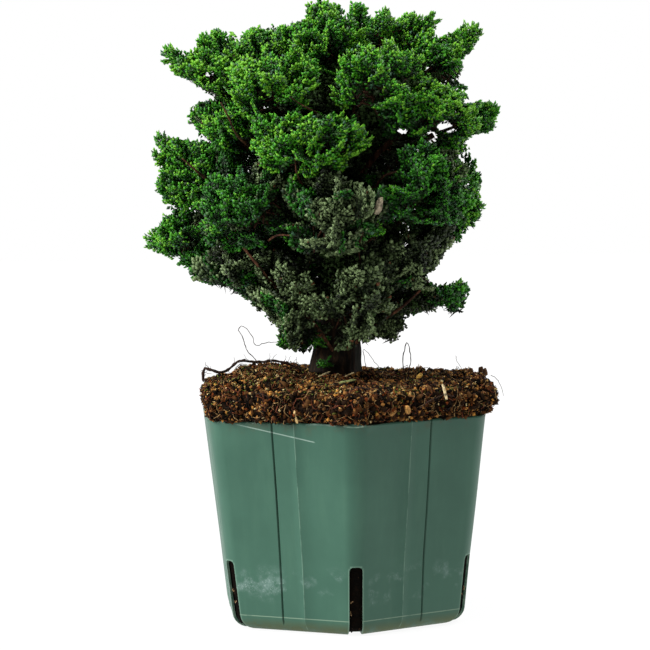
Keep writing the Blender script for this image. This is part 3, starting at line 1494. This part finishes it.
def warp_rim(bm):
    """Slow waves in the sides, and a rim that dips at the front corner."""
    for vert in bm.verts:
        out = Vector((vert.co.x, vert.co.y, 0)).normalized()
        fade = min(1, max(0, (vert.co.z - WARP_FROM) / (25 * MM)))
        vert.co += out * (noise.noise(vert.co / (45 * MM)) * POT_WARP * fade)
        if vert.co.z > POT_HEIGHT - 0.01 * MM:
            from_corner = (vert.co - FRONT_CORNER).length / RIM_DIP_REACH
            dip = RIM_DIP * math.exp(-from_corner ** 2)
            vert.co.z -= dip + (0.3 + noise.noise(vert.co / (7 * MM)) * 0.45) * MM


def make_pot():
    bm = bmesh.new()
    underside, flats = draw_underside(bm)
    raise_sides(bm, underside, flats)
    press_sides(bm)
    warp_rim(bm)
    finishes = [pot_finish(), pot_edge_finish()]
    pot = from_bmesh("pot_shell", bm, finishes, 32)
    wall = pot.modifiers.new("wall", "SOLIDIFY")
    wall.thickness = POT_WALL
    wall.offset = -1
    wall.use_even_offset = True
    wall.material_offset_rim = 1
    cutters = slit_cutters(finishes)
    slits = pot.modifiers.new("slits", "BOOLEAN")
    slits.operation = "DIFFERENCE"
    slits.object = cutters
    bpy.context.view_layer.update()
    graph = bpy.context.evaluated_depsgraph_get()
    shell = bpy.data.meshes.new_from_object(pot.evaluated_get(graph))
    pot.modifiers.clear()
    pot.data = shell
    bpy.data.objects.remove(cutters)
    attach(pot, "root")
    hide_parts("pot")


def slit_cutters(finishes):
    """The forms that cut the slits: rounded at the top, and open at the underside."""
    bm = bmesh.new()
    half = SLIT_WIDTH / 2
    round_centre = SLIT_HEIGHT - half
    for side in range(6):
        outward, across = corner_frame(side)
        turn = outward.to_track_quat("Z", "Y").to_matrix().to_4x4()
        place = Matrix.Translation(outward * SLIT_INNER_END + UP * round_centre) @ turn
        made = bmesh.ops.create_circle(
            bm, cap_ends=True, segments=32, radius=half, matrix=place
        )["verts"]
        for vert in made:
            aside = vert.co.dot(across) / half
            above = (vert.co.z - round_centre) / half
            vert.co += across * ((squarer(aside) - aside) * half)
            vert.co.z += (squarer(above) - above) * half
        lower = [vert for vert in made if vert.co.z < round_centre - 1e-6]
        bmesh.ops.translate(bm, vec=-UP * SLIT_HEIGHT, verts=lower)
        grown = bmesh.ops.extrude_face_region(bm, geom=[made[0].link_faces[0]])["geom"]
        far = [item for item in grown if isinstance(item, bmesh.types.BMVert)]
        bmesh.ops.translate(bm, vec=outward * (SLIT_OUTER_END - SLIT_INNER_END), verts=far)
    bmesh.ops.recalc_face_normals(bm, faces=bm.faces[:])
    for face in bm.faces:
        face.material_index = 1
    return from_bmesh("slit_cutters", bm, finishes)


def squarer(share):
    """A place on a round end, moved towards that of a squarer one."""
    return math.copysign(abs(share) ** SLIT_SQUARENESS, share)


# Soil

def soil_finish():
    finish = Finish("potting_mix", roughness=0.95, gloss=0.05)
    crumbs = finish.cloud(2.6 * MM, 6, 0.7)
    fibres = finish.cloud(1.4 * MM, 4, 0.6, finish.stretched_place(0.35, 0.35, 1.4))
    colour = finish.node("ShaderNodeValToRGB", {"stops": (
        (0.34, (6, 4, 2)), (0.48, (20, 13, 8)), (0.60, (40, 26, 15)), (0.74, (74, 50, 28)),
    )}, crumbs * 0.6 + fibres * 0.4)
    below_rim = 1 - finish.axis("Z").between(97 * MM, 100 * MM)
    finish.set("Base Color", finish.mix(below_rim * 0.75, colour, (4, 3, 2)))
    finish.relief(crumbs, 1.6 * MM, 1.0)
    return finish


# How the soil's top lies, from left to right: x and how much higher than level, in mm.
SOIL_LIE = (
    (-74, -5), (-64, -2.6), (-57, -2.2), (-51, 0.4), (-46, 0.4), (-36, 1.8), (-28, 1.8),
    (-21, -0.6), (-10, -2.2),
    (12, -3), (30, -2.6), (45, -3.2), (56, -2.8), (62, -0.5), (68, 0.8), (73, 2), (80, 2),
)

SOIL_EDGE = 3.0 * MM
SOIL_CLEAR_OF_TRUNK = 16 * MM
LITTER_CLEAR_OF_TRUNK = 13 * MM
SOIL_HALF_WIDTH = 66 * MM
SOIL_SINK_OVER = 8 * MM
SPLIT_ROUNDS = 6
LUMP_SIZE = 9 * MM
LUMP_RISE = 2.3 * MM
CRUMB_SIZE = 3.2 * MM
CRUMB_RISE = 2.1 * MM
ROUGH_SINK = 0.7 * MM
# The rounded edge above the rim: its height, and how it bulges or is drawn in to each side.
SHOULDER_HEIGHT = 110.5 * MM
SHOULDER_HALF = 4.5 * MM
SHOULDER_BULGE = 3.4 * MM
RIGHT_DRAWN_IN = 0.9 * MM
LEFT_DRAWN_IN = 2.6 * MM


def add_to_soil(piece):
    """Says that a piece is part of the root ball."""
    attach(piece, "root")
    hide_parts("root_ball")


def make_soil():
    """The root ball: the solid's own shape, made finer and roughened above the rim."""
    bm = bmesh.new()
    bm.from_mesh(frame["nodes"]["root_ball"].data)
    bmesh.ops.remove_doubles(bm, verts=bm.verts[:], dist=0.01 * MM)
    rim = POT_HEIGHT + 0.2 * MM
    for _ in range(SPLIT_ROUNDS):
        long_edges = [
            edge for edge in bm.edges
            if edge.calc_length() > SOIL_EDGE and max(v.co.z for v in edge.verts) > rim
        ]
        if not long_edges:
            break
        bmesh.ops.subdivide_edges(bm, edges=long_edges, cuts=1)
        bmesh.ops.triangulate(bm, faces=[face for face in bm.faces if len(face.verts) > 3])
    bm.normal_update()
    moves = {}
    for vert in bm.verts:
        from_trunk = math.hypot(vert.co.x, vert.co.y) - SOIL_CLEAR_OF_TRUNK
        if vert.co.z < rim or from_trunk < 0:
            continue
        lumps = noise.noise(vert.co / LUMP_SIZE) * LUMP_RISE
        crumbs = noise.noise(vert.co / CRUMB_SIZE) * CRUMB_RISE
        left = max(0, -vert.co.x / SOIL_HALF_WIDTH) ** 2
        right = max(0, vert.co.x / SOIL_HALF_WIDTH) ** 2
        shoulder = math.exp(-((vert.co.z - SHOULDER_HEIGHT) / SHOULDER_HALF) ** 2)
        shift = LEFT_DRAWN_IN * left + (SHOULDER_BULGE * shoulder - RIGHT_DRAWN_IN) * right
        sink = min(1, from_trunk / SOIL_SINK_OVER) * max(0, vert.normal.z)
        sink *= np.interp(vert.co.x / MM, *zip(*SOIL_LIE))
        rough = vert.normal * (lumps + crumbs - ROUGH_SINK)
        moves[vert] = rough + Vector((shift, 0, sink * MM))
    for vert, move in moves.items():
        vert.co += move
        vert.co.z = max(vert.co.z, rim)
    soil = from_bmesh("soil", bm, [soil_finish()], 80)
    add_to_soil(soil)
    return soil


class SoilSurface:
    """Where things lie on the soil above the rim, clear of the trunk."""

    def __init__(self, soil):
        mesh = soil.data
        mesh.calc_loop_triangles()
        points = np.empty(len(mesh.vertices) * 3)
        mesh.vertices.foreach_get("co", points)
        points = points.reshape(-1, 3)
        faces = np.empty(len(mesh.loop_triangles) * 3, int)
        mesh.loop_triangles.foreach_get("vertices", faces)
        self.corners = points[faces.reshape(-1, 3)]
        crossed = np.cross(
            self.corners[:, 1] - self.corners[:, 0], self.corners[:, 2] - self.corners[:, 0]
        )
        size = np.linalg.norm(crossed, axis=1)
        middle = self.corners.mean(1)
        keep = (middle[:, 2] > POT_HEIGHT + 0.3 * MM) & (size > 0)
        keep &= np.hypot(middle[:, 0], middle[:, 1]) > LITTER_CLEAR_OF_TRUNK
        self.corners, crossed, size = self.corners[keep], crossed[keep], size[keep]
        self.normals = crossed / size[:, None]
        self.chances = size / size.sum()
        self.tree = bvhtree.BVHTree.FromObject(soil, bpy.context.evaluated_depsgraph_get())

    def scatter(self, count, rng, least_rise=-2):
        """Random points on the surface, and which way it faces there."""
        chances = np.where(self.normals[:, 2] > least_rise, self.chances, 0)
        chosen = rng.choice(len(self.corners), count, p=chances / chances.sum())
        u, v = rng.random((2, count, 1))
        over = u + v > 1
        u, v = np.where(over, 1 - u, u), np.where(over, 1 - v, v)
        a, b, c = (self.corners[chosen, k] for k in range(3))
        return a + (b - a) * u + (c - a) * v, self.normals[chosen]

    def nearest(self, point):
        spot, normal, _, _ = self.tree.find_nearest(point)
        return spot, normal


# What lies on the soil: how many of each kind, their colour, and their least and most size or
# width in mm.
GRAINS = {
    "night": (3400, (10, 6, 3), (0.5, 2.0)),
    "dark": (3200, (32, 20, 10), (0.5, 2.2)),
    "brown": (3400, (72, 43, 20), (0.4, 2.1)),
    "tan": (2600, (142, 99, 52), (0.35, 1.8)),
    "ochre": (900, (178, 124, 58), (0.4, 1.7)),
    "rust": (1300, (102, 50, 20), (0.4, 1.8)),
    "pale": (340, (196, 172, 122), (0.3, 1.1)),
    "olive": (900, (74, 74, 30), (0.4, 1.5)),
}
TOP_GRAINS = {
    "straw": (1000, (206, 186, 132), (0.35, 1.4)),
    "sand": (1900, (176, 138, 80), (0.4, 1.6)),
    "clay": (1500, (130, 90, 46), (0.5, 1.8)),
}
LUMPS = {
    "ochre": (34, (128, 88, 44), (1.0, 1.7)),
    "dark": (230, (34, 21, 11), (1.0, 2.1)),
    "brown": (260, (82, 54, 28), (1.0, 2.1)),
}
FIBRES = {
    "rust": (1000, (104, 54, 32), (0.12, 0.32)),
    "dark": (1500, (24, 15, 10), (0.10, 0.30)),
    "tan": (900, (156, 124, 80), (0.09, 0.24)),
}
FIBRE_STRIDES = (0.8, 2.4)
FIBRE_LIFTS = (0.4, 3.0)


def crumb_shape(subdivisions):
    """A round lump, or a plain grain of a few faces where it isn't subdivided."""
    bm = bmesh.new()
    if subdivisions:
        bmesh.ops.create_icosphere(bm, subdivisions=subdivisions, radius=1)
    else:
        bmesh.ops.create_cone(
            bm, cap_ends=True, segments=4, radius1=1, radius2=0.55, depth=1.2
        )
        bmesh.ops.triangulate(bm, faces=bm.faces[:])
    points = np.array([tuple(vert.co) for vert in bm.verts])
    faces = np.array([[vert.index for vert in face.verts] for face in bm.faces])
    bm.free()
    return points, facing_out(points, faces)


def scatter_crumbs(surface, kinds, subdivisions, stretch, name_start, least_rise=-2):
    """Crumbs of each kind, each kind one joined piece, half sunk in the soil's surface."""
    points, faces = crumb_shape(subdivisions)
    for number, (name, (count, colour, sizes)) in enumerate(kinds.items()):
        rng = np.random.default_rng(SEEDS[name_start] + number)
        spots, normals = surface.scatter(count, rng, least_rise)
        lumpy = points[None] * rng.uniform(0.62, 1.2, (count, len(points), 1))
        lumpy = lumpy * rng.uniform(*stretch, (count, 1, 3))
        turns = np.array([
            Matrix.Rotation(angle, 3, Vector(axis).normalized())
            for angle, axis in zip(rng.uniform(0, 6.3, count), rng.normal(0, 1, (count, 3)))
        ])
        size = rng.uniform(*sizes, count) * MM
        lumpy = np.einsum("nij,npj->npi", turns, lumpy) * size[:, None, None]
        heap = Heap()
        heap.add(lumpy + (spots + normals * (size * 0.2)[:, None])[:, None], faces)
        finish = Finish(f"{name_start}_{name}", 0.95, colour, gloss=0.08)
        add_to_soil(heap.object(f"soil_{name_start}s_{name}", finish, smooth=False))


def fibre_path(surface, spot, normal, rng):
    """A crooked way along the soil, lifted off it between its ends."""
    point = Vector(spot)
    heading = Vector(rng.normal(0, 1, 3)).cross(Vector(normal)).normalized()
    path = []
    steps = int(rng.integers(4, 8))
    stride = rng.uniform(*FIBRE_STRIDES) * MM
    lift = rng.uniform(*FIBRE_LIFTS) * MM
    for step in range(steps):
        on, facing = surface.nearest(point)
        above = lift * rng.uniform(0.0, 1.0) * math.sin(math.pi * step / steps)
        path.append(on + facing * above)
        heading = (heading + Vector(rng.normal(0, 0.5, 3))).normalized()
        heading = (heading - facing * heading.dot(facing)).normalized()
        point = on + heading * stride
    return path


def make_fibres(surface):
    for number, (name, (count, colour, widths)) in enumerate(FIBRES.items()):
        rng = np.random.default_rng(SEEDS["fibre"] + number)
        spots, normals = surface.scatter(count, rng)
        heap = Heap()
        for spot, normal in zip(spots, normals):
            path = fibre_path(surface, spot, normal, rng)
            if min(point.z for point in path) < POT_HEIGHT - 1 * MM:
                continue
            thick = rng.uniform(*widths) * MM
            heap.add(*tube(path, np.linspace(thick, thick * 0.5, len(path)), 4))
        finish = Finish(f"fibre_{name}", 0.85, colour, gloss=0.2)
        add_to_soil(heap.object(f"soil_fibres_{name}", finish))


# Roots on and above the soil, as their thickness at both ends and points, in mm.
ROOTS = (
    (1.5, 1.0, (
        (-66, -16, 116), (-66, -16, 120), (-65, -17, 122.4), (-61.5, -18, 121.6),
        (-58, -18, 120.6), (-54, -17, 121.6), (-50.5, -17, 124.6), (-47.5, -17, 126),
        (-42.5, -16, 125.2), (-38, -15, 125.2), (-33.6, -15, 125.6), (-29.3, -14, 125.1),
        (-23, -13, 123), (-19.5, -12, 120.6),
    )),
    (0.42, 0.28, (
        (-39, -14, 123), (-41.4, -14, 127), (-44, -15, 129.5), (-45.6, -14, 132.5),
        (-47.5, -14, 138), (-48.9, -13, 140.3), (-47.6, -13, 142.3), (-45, -14, 141.2),
        (-42, -15, 137.1), (-41.3, -15, 133.8), (-39.8, -14, 132.8), (-37.9, -13, 133.6),
        (-34.5, -13, 134.2), (-31, -12, 134.2), (-26, -11, 134.8),
    )),
    (0.5, 0.4, (
        (30.6, -10, 117.5), (30, -10, 120.5), (29.8, -10, 124), (30.2, -10, 128),
        (30.8, -10, 131.3), (31.8, -10, 133.2), (32.9, -10, 131.2), (33.5, -10, 127.8),
        (33.5, -10, 123.5), (32.6, -10, 119.5), (32.4, -10, 117),
    )),
    (0.34, 0.2, (
        (12.4, -14, 118), (11.8, -14, 123), (10.9, -14, 128), (10.9, -14, 130.4),
        (13.1, -14, 128.6), (15.5, -14, 125.2), (18.3, -14, 121.8), (21, -14, 119.6),
    )),
    (0.24, 0.14, ((55.6, 0, 126), (56.4, 0, 123), (58, 0, 120.4), (59, 0, 117))),
    (0.3, 0.16, ((72, -8, 117), (75, -9, 115), (77, -10, 111), (78, -10, 107))),
    (0.55, 0.3, (
        (-2, -67.5, 113), (4, -68.6, 115.4), (9, -68.8, 116.4), (14, -68.2, 115.2),
        (19, -67, 113.4), (23, -64, 113.6),
    )),
    (0.4, 0.25, (
        (-40, -58, 114), (-34, -60.5, 112), (-29, -62, 108.6), (-23, -64, 106.4), (-18, -65.6, 106.8),
    )),
    (0.45, 0.3, ((36, -62, 106), (41, -60.6, 109.4), (47, -58.4, 111.6), (52, -56, 111))),
)
ROOT_HAIRS = 34

# Chips on the soil, and the flake of bark in the crown: middle in mm, direction, then length,
# width and thickness in mm, and colour.
CHIPS = (
    ((48, -52, 112.6), (-0.35, -0.2, 1), 7.6, 2.0, 0.7, (196, 178, 138)),
    ((8.5, -69, 105), (0.35, -0.1, 1), 9.5, 1.6, 0.6, (128, 124, 84)),
    ((3, -45, 117.6), (1, 0, 0.05), 8, 2.6, 0.8, (134, 140, 86)),
    ((-21, -66, 103), (-0.3, -0.3, 1), 6.0, 1.6, 0.8, (186, 158, 108)),
    ((-16, -64, 106), (0.6, -0.1, 1), 4.6, 1.2, 0.6, (176, 148, 98)),
    ((-8, -26, 119.6), (1, 0.2, 0.3), 6, 1.5, 0.6, (178, 162, 120)),
    ((4, -27, 119.4), (0.9, -0.4, 0.3), 5, 1.2, 0.6, (168, 150, 110)),
    ((-2, -30, 119), (0.3, -1, 0.5), 5, 1.3, 0.6, (150, 130, 92)),
    ((23.3, -66, 104.6), (1, 0, 0.2), 4.4, 3.6, 3.2, (150, 108, 58)),
    ((30.4, -64.5, 105.6), (0.3, 0, 1), 3.8, 3.2, 3.0, (158, 116, 62)),
    ((37, -30, 118.4), (1, 0, 0.2), 3.2, 2.6, 2.4, (190, 150, 74)),
    ((62.5, -6, 118.4), (0.5, 0, 1), 3.6, 2.6, 2.4, (84, 58, 34)),
    ((67.5, -3, 118.6), (-0.2, 0, 1), 4.0, 2.8, 2.4, (66, 44, 26)),
    ((70, 2, 117.6), (-0.6, 0, 1), 3.6, 2.6, 2.4, (92, 64, 38)),
)
FLAKE = ((18.2, -66, 199.5), (0.8, 0, 1), 7.8, 6.4, 4.0, (134, 124, 104))
STONE_LENGTH = 1.3
SPLINTER_ROUNDING = 0.2
STONE_ROUNDING = 0.38


def add_chip(name, middle, heading, length, width, thickness, colour):
    """A worn splinter with rounded corners. Short ones are rounder, as small stones are."""
    chance = random.Random(name)
    bm = bmesh.new()
    bmesh.ops.create_cube(bm, size=1)
    rounding = SPLINTER_ROUNDING if length > STONE_LENGTH * width else STONE_ROUNDING
    bmesh.ops.bevel(
        bm, geom=bm.edges[:], offset=rounding, segments=2, affect="EDGES", profile=0.5,
        material=-1, clamp_overlap=True,
    )
    bmesh.ops.triangulate(bm, faces=bm.faces[:])
    turn = Vector(heading).to_track_quat("Z", "Y").to_matrix().to_4x4()
    for vert in bm.verts:
        taper = 1 - 0.35 * abs(vert.co.z)
        vert.co.x *= width * taper
        vert.co.y = vert.co.y * thickness * taper + 0.16 * width * math.sin(3 * vert.co.z)
        vert.co.z *= length
        vert.co += Vector([chance.uniform(-0.05, 0.05) * width for _ in range(3)])
    bmesh.ops.transform(
        bm, verts=bm.verts[:],
        matrix=Matrix.Scale(MM, 4) @ Matrix.Translation(Vector(middle)) @ turn,
    )
    finish = mottled_finish(name, 0.85, colour, 0.2)
    return from_bmesh(name, bm, [finish], 50)


def make_chips():
    for number, chip in enumerate(CHIPS):
        add_to_soil(add_chip(f"chip_{number + 1}", *chip))
    flake = add_chip("bark_flake", *FLAKE)
    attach(flake, "root")


# What shows in the slits: how many crumbs of each kind a slit has, and all colours.
SLIT_CRUMBS = {"dark": 300, "brown": 140}
SLIT_COLOURS = {"dark": (9, 6, 4), "brown": (56, 38, 22), "root": (140, 112, 80)}
SLIT_ROOTS = 4
SLIT_DEPTHS = (3.0 * MM, 5.4 * MM)
CORNER_ROUNDING = 1.35 * MM
ROOT_DEPTH = 4.0 * MM
ROOT_ROOM_ACROSS = 2.4 * MM
ROOT_ROOM_OUT = 0.8 * MM


def corner_radius(height):
    """How far a sharp corner of the pot lies from its axis."""
    return pot_flats(height) / 2 / math.cos(math.pi / 6)


def slit_crumbs(count, outward, across, rng):
    """The points of crumbs that fill one slit from inside."""
    height = rng.uniform(2.4, 31.5, count) * MM
    round_foot = np.maximum(0, POT_BASE_RADIUS - height)
    rounding = POT_BASE_RADIUS - np.sqrt(np.maximum(0, POT_BASE_RADIUS ** 2 - round_foot ** 2))
    corner = corner_radius(height) - CORNER_ROUNDING - rounding
    radius = corner - rng.uniform(*SLIT_DEPTHS, count)
    aside = rng.uniform(-0.5, 0.5, count) * (SLIT_WIDTH - 1.2 * MM)
    spots = radius[:, None] * np.array(outward) + aside[:, None] * np.array(across)
    spots[:, 2] = height
    points, _ = crumb_shape(0)
    lumpy = points[None] * rng.uniform(0.6, 1.2, (count, len(points), 1))
    size = rng.uniform(0.5, 1.5, count) * MM
    turned = lumpy[:, :, rng.permutation(3)]
    return turned * size[:, None, None] + spots[:, None]


def slit_root(height, outward, across, rng):
    """A root end that wanders inside a slit and stays in it."""
    corner = corner_radius(height) - ROOT_DEPTH
    path = [outward * corner + across * rng.uniform(-2, 2) * MM + UP * height]
    heading = across * rng.choice((-1, 1)) + UP * rng.uniform(-1, 1.5)
    for _ in range(6):
        heading = heading.normalized() + Vector(rng.normal(0, 0.5, 3))
        step = path[-1] + heading.normalized() * 1.1 * MM
        beside = step.dot(across)
        step -= across * (beside - min(max(beside, -ROOT_ROOM_ACROSS), ROOT_ROOM_ACROSS))
        step -= outward * max(0, step.dot(outward) - corner - ROOT_ROOM_OUT)
        path.append(step)
    return path


def fill_slits():
    """Crumbs and root ends that show in the pot's slits."""
    rng = np.random.default_rng(SEEDS["slit"])
    _, crumb_faces = crumb_shape(0)
    heaps = {name: Heap() for name in SLIT_COLOURS}
    for side in range(6):
        outward, across = corner_frame(side)
        for name, count in SLIT_CRUMBS.items():
            heaps[name].add(slit_crumbs(count, outward, across, rng), crumb_faces)
        for height in rng.uniform(7, 25, SLIT_ROOTS) * MM:
            path = slit_root(height, outward, across, rng)
            heaps["root"].add(*tube(path, np.linspace(0.36, 0.16, len(path)) * MM, 5))
    for name, colour in SLIT_COLOURS.items():
        finish = Finish(f"slit_{name}", 0.9, colour, gloss=0.2)
        add_to_soil(heaps[name].object(f"slit_soil_{name}", finish, smooth=name == "root"))


def make_roots():
    """The roots above the soil, with fine hairs on the thick one."""
    chance = random.Random(SEEDS["root"])
    heap = Heap()
    for thick, thin, points in ROOTS:
        route = smooth_route(points)
        radii = [
            (thick + (thin - thick) * k / len(route)) * chance.uniform(0.8, 1.25) * MM / 2
            for k in range(len(route))
        ]
        heap.add(*tube([(point + random_vector(chance, 0.12)) * MM for point in route], radii, 7))
    thick_route = smooth_route(ROOTS[0][2])
    for _ in range(ROOT_HAIRS):
        path = [chance.choice(thick_route) * MM]
        heading = Vector((chance.gauss(0, 1), chance.gauss(0, 0.6), abs(chance.gauss(0.3, 0.8))))
        for _ in range(4):
            heading = heading.normalized() + random_vector(chance, 0.45)
            path.append(path[-1] + heading.normalized() * chance.uniform(0.7, 1.7) * MM)
        heap.add(*tube(path, np.linspace(0.16, 0.07, 5) * MM, 4))
    finish = mottled_finish("root_skin", 0.8, (44, 28, 20), 0.25)
    add_to_soil(heap.object("surface_roots", finish))


MOSS_COLOURS = {"bright": (96, 112, 38), "olive": (62, 62, 28)}
MOSS_TRIES = 9000
MOSS_LEAST_RISE = 0.45
MOSS_FROM = 0.16
MOSS_LEFT_PART = -8 * MM
MOSS_MORE_LEFT, MOSS_LESS_RIGHT = 0.28, -0.02
BRIGHT_MOSS_SHARE = 0.28


def make_moss(surface):
    """Cushions of moss on the soil's top, mostly on the left."""
    rng = np.random.default_rng(SEEDS["moss"])
    heaps = {name: Heap() for name in MOSS_COLOURS}
    spots, normals = surface.scatter(MOSS_TRIES, rng)
    for spot, normal in zip(spots, normals):
        if normal[2] < MOSS_LEAST_RISE:
            continue
        more = MOSS_MORE_LEFT if spot[0] < MOSS_LEFT_PART else MOSS_LESS_RIGHT
        if noise.noise(Vector(spot) / (15 * MM)) + more < MOSS_FROM:
            continue
        name = "bright" if rng.random() < BRIGHT_MOSS_SHARE else "olive"
        up = unit(normal + rng.normal(0, 0.45, 3))
        across = unit(np.cross(up, rng.normal(0, 1, 3)))
        face = np.cross(up, across)
        long, wide = rng.uniform(1.2, 2.6) * MM, rng.uniform(0.5, 0.9) * MM
        root = spot - up * 0.4 * MM
        corners = finger_corners(root[None], up[None] * long, across[None] * wide, face[None] * wide)
        heaps[name].add(corners, FINGER_FACES)
    for name, colour in MOSS_COLOURS.items():
        finish = Finish(f"moss_{name}", 0.85, colour, gloss=0.15)
        add_to_soil(heaps[name].object(f"moss_{name}", finish))


# Stage

def make_floor():
    bm = bmesh.new()
    bmesh.ops.create_grid(bm, x_segments=1, y_segments=1, size=FLOOR_SIZE / 2)
    finish = Finish("floor", 0.9, FLOOR_COLOUR, gloss=0.0)
    finish.set("Emission Color", (1, 1, 1, 1))
    finish.set("Emission Strength", FLOOR_GLOW)
    floor = from_bmesh("floor", bm, [finish])
    floor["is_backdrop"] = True


def light_studio():
    """Soft lamps, and a world that is seen white but lights the object only a little."""
    scene = bpy.context.scene
    scene.world = bpy.data.worlds.new("studio")
    scene.world.use_nodes = True
    tree = scene.world.node_tree
    soft = tree.nodes["Background"]
    white = tree.nodes.new("ShaderNodeBackground")
    for background in (soft, white):
        background.inputs["Color"].default_value = (1, 1, 1, 1)
    soft.inputs["Strength"].default_value = AMBIENT
    seen = tree.nodes.new("ShaderNodeLightPath")
    either = tree.nodes.new("ShaderNodeMixShader")
    tree.links.new(seen.outputs["Is Camera Ray"], either.inputs[0])
    tree.links.new(soft.outputs[0], either.inputs[1])
    tree.links.new(white.outputs[0], either.inputs[2])
    tree.links.new(either.outputs[0], tree.nodes["World Output"].inputs["Surface"])
    for name, away, spread, strength in LAMPS:
        light = bpy.data.lights.new(name, "SUN")
        light.angle = math.radians(spread)
        light.energy = strength
        lamp = bpy.data.objects.new(name, light)
        scene.collection.objects.link(lamp)
        lamp.rotation_euler = Vector(away).to_track_quat("Z", "Y").to_euler()
    scene.view_settings.view_transform = "Standard"


def place_camera():
    scene = bpy.context.scene
    data = bpy.data.cameras.new("camera")
    data.lens = CAMERA_LENS
    data.sensor_width = CAMERA_SENSOR
    data.shift_x = -(TARGET_IN_IMAGE[0] - IMAGE_SIDE / 2) / IMAGE_SIDE
    data.shift_y = (TARGET_IN_IMAGE[1] - IMAGE_SIDE / 2) / IMAGE_SIDE
    data.clip_start = 0.05
    camera = bpy.data.objects.new("camera", data)
    scene.collection.objects.link(camera)
    camera.location = EYE
    level = EYE_WAY.to_track_quat("Z", "Y").to_matrix()
    camera.rotation_euler = (level @ Matrix.Rotation(CAMERA_ROLL, 3, "Z")).to_euler()
    scene.camera = camera


def main():
    make_floor()
    light_studio()
    place_camera()
    tufts = crown_tufts()
    make_trunk(bark_finish("bark", TRUNK_TONES, 0.55))
    bough_bark = bark_finish("bough_bark", BOUGH_TONES, 0.1)
    make_boughs(tufts, bough_bark)
    make_bare_stems(bough_bark)
    make_foliage(tufts)
    make_pot()
    soil = make_soil()
    surface = SoilSurface(soil)
    scatter_crumbs(surface, GRAINS, 0, (0.3, 1.0), "grain")
    scatter_crumbs(surface, TOP_GRAINS, 0, (0.3, 1.0), "top_grain", 0.55)
    scatter_crumbs(surface, LUMPS, 1, (0.5, 1.1), "lump")
    make_fibres(surface)
    make_moss(surface)
    make_roots()
    make_chips()
    fill_slits()


main()

corners = [[list(corner) for corner in box] for box in (cad_bounds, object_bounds())]
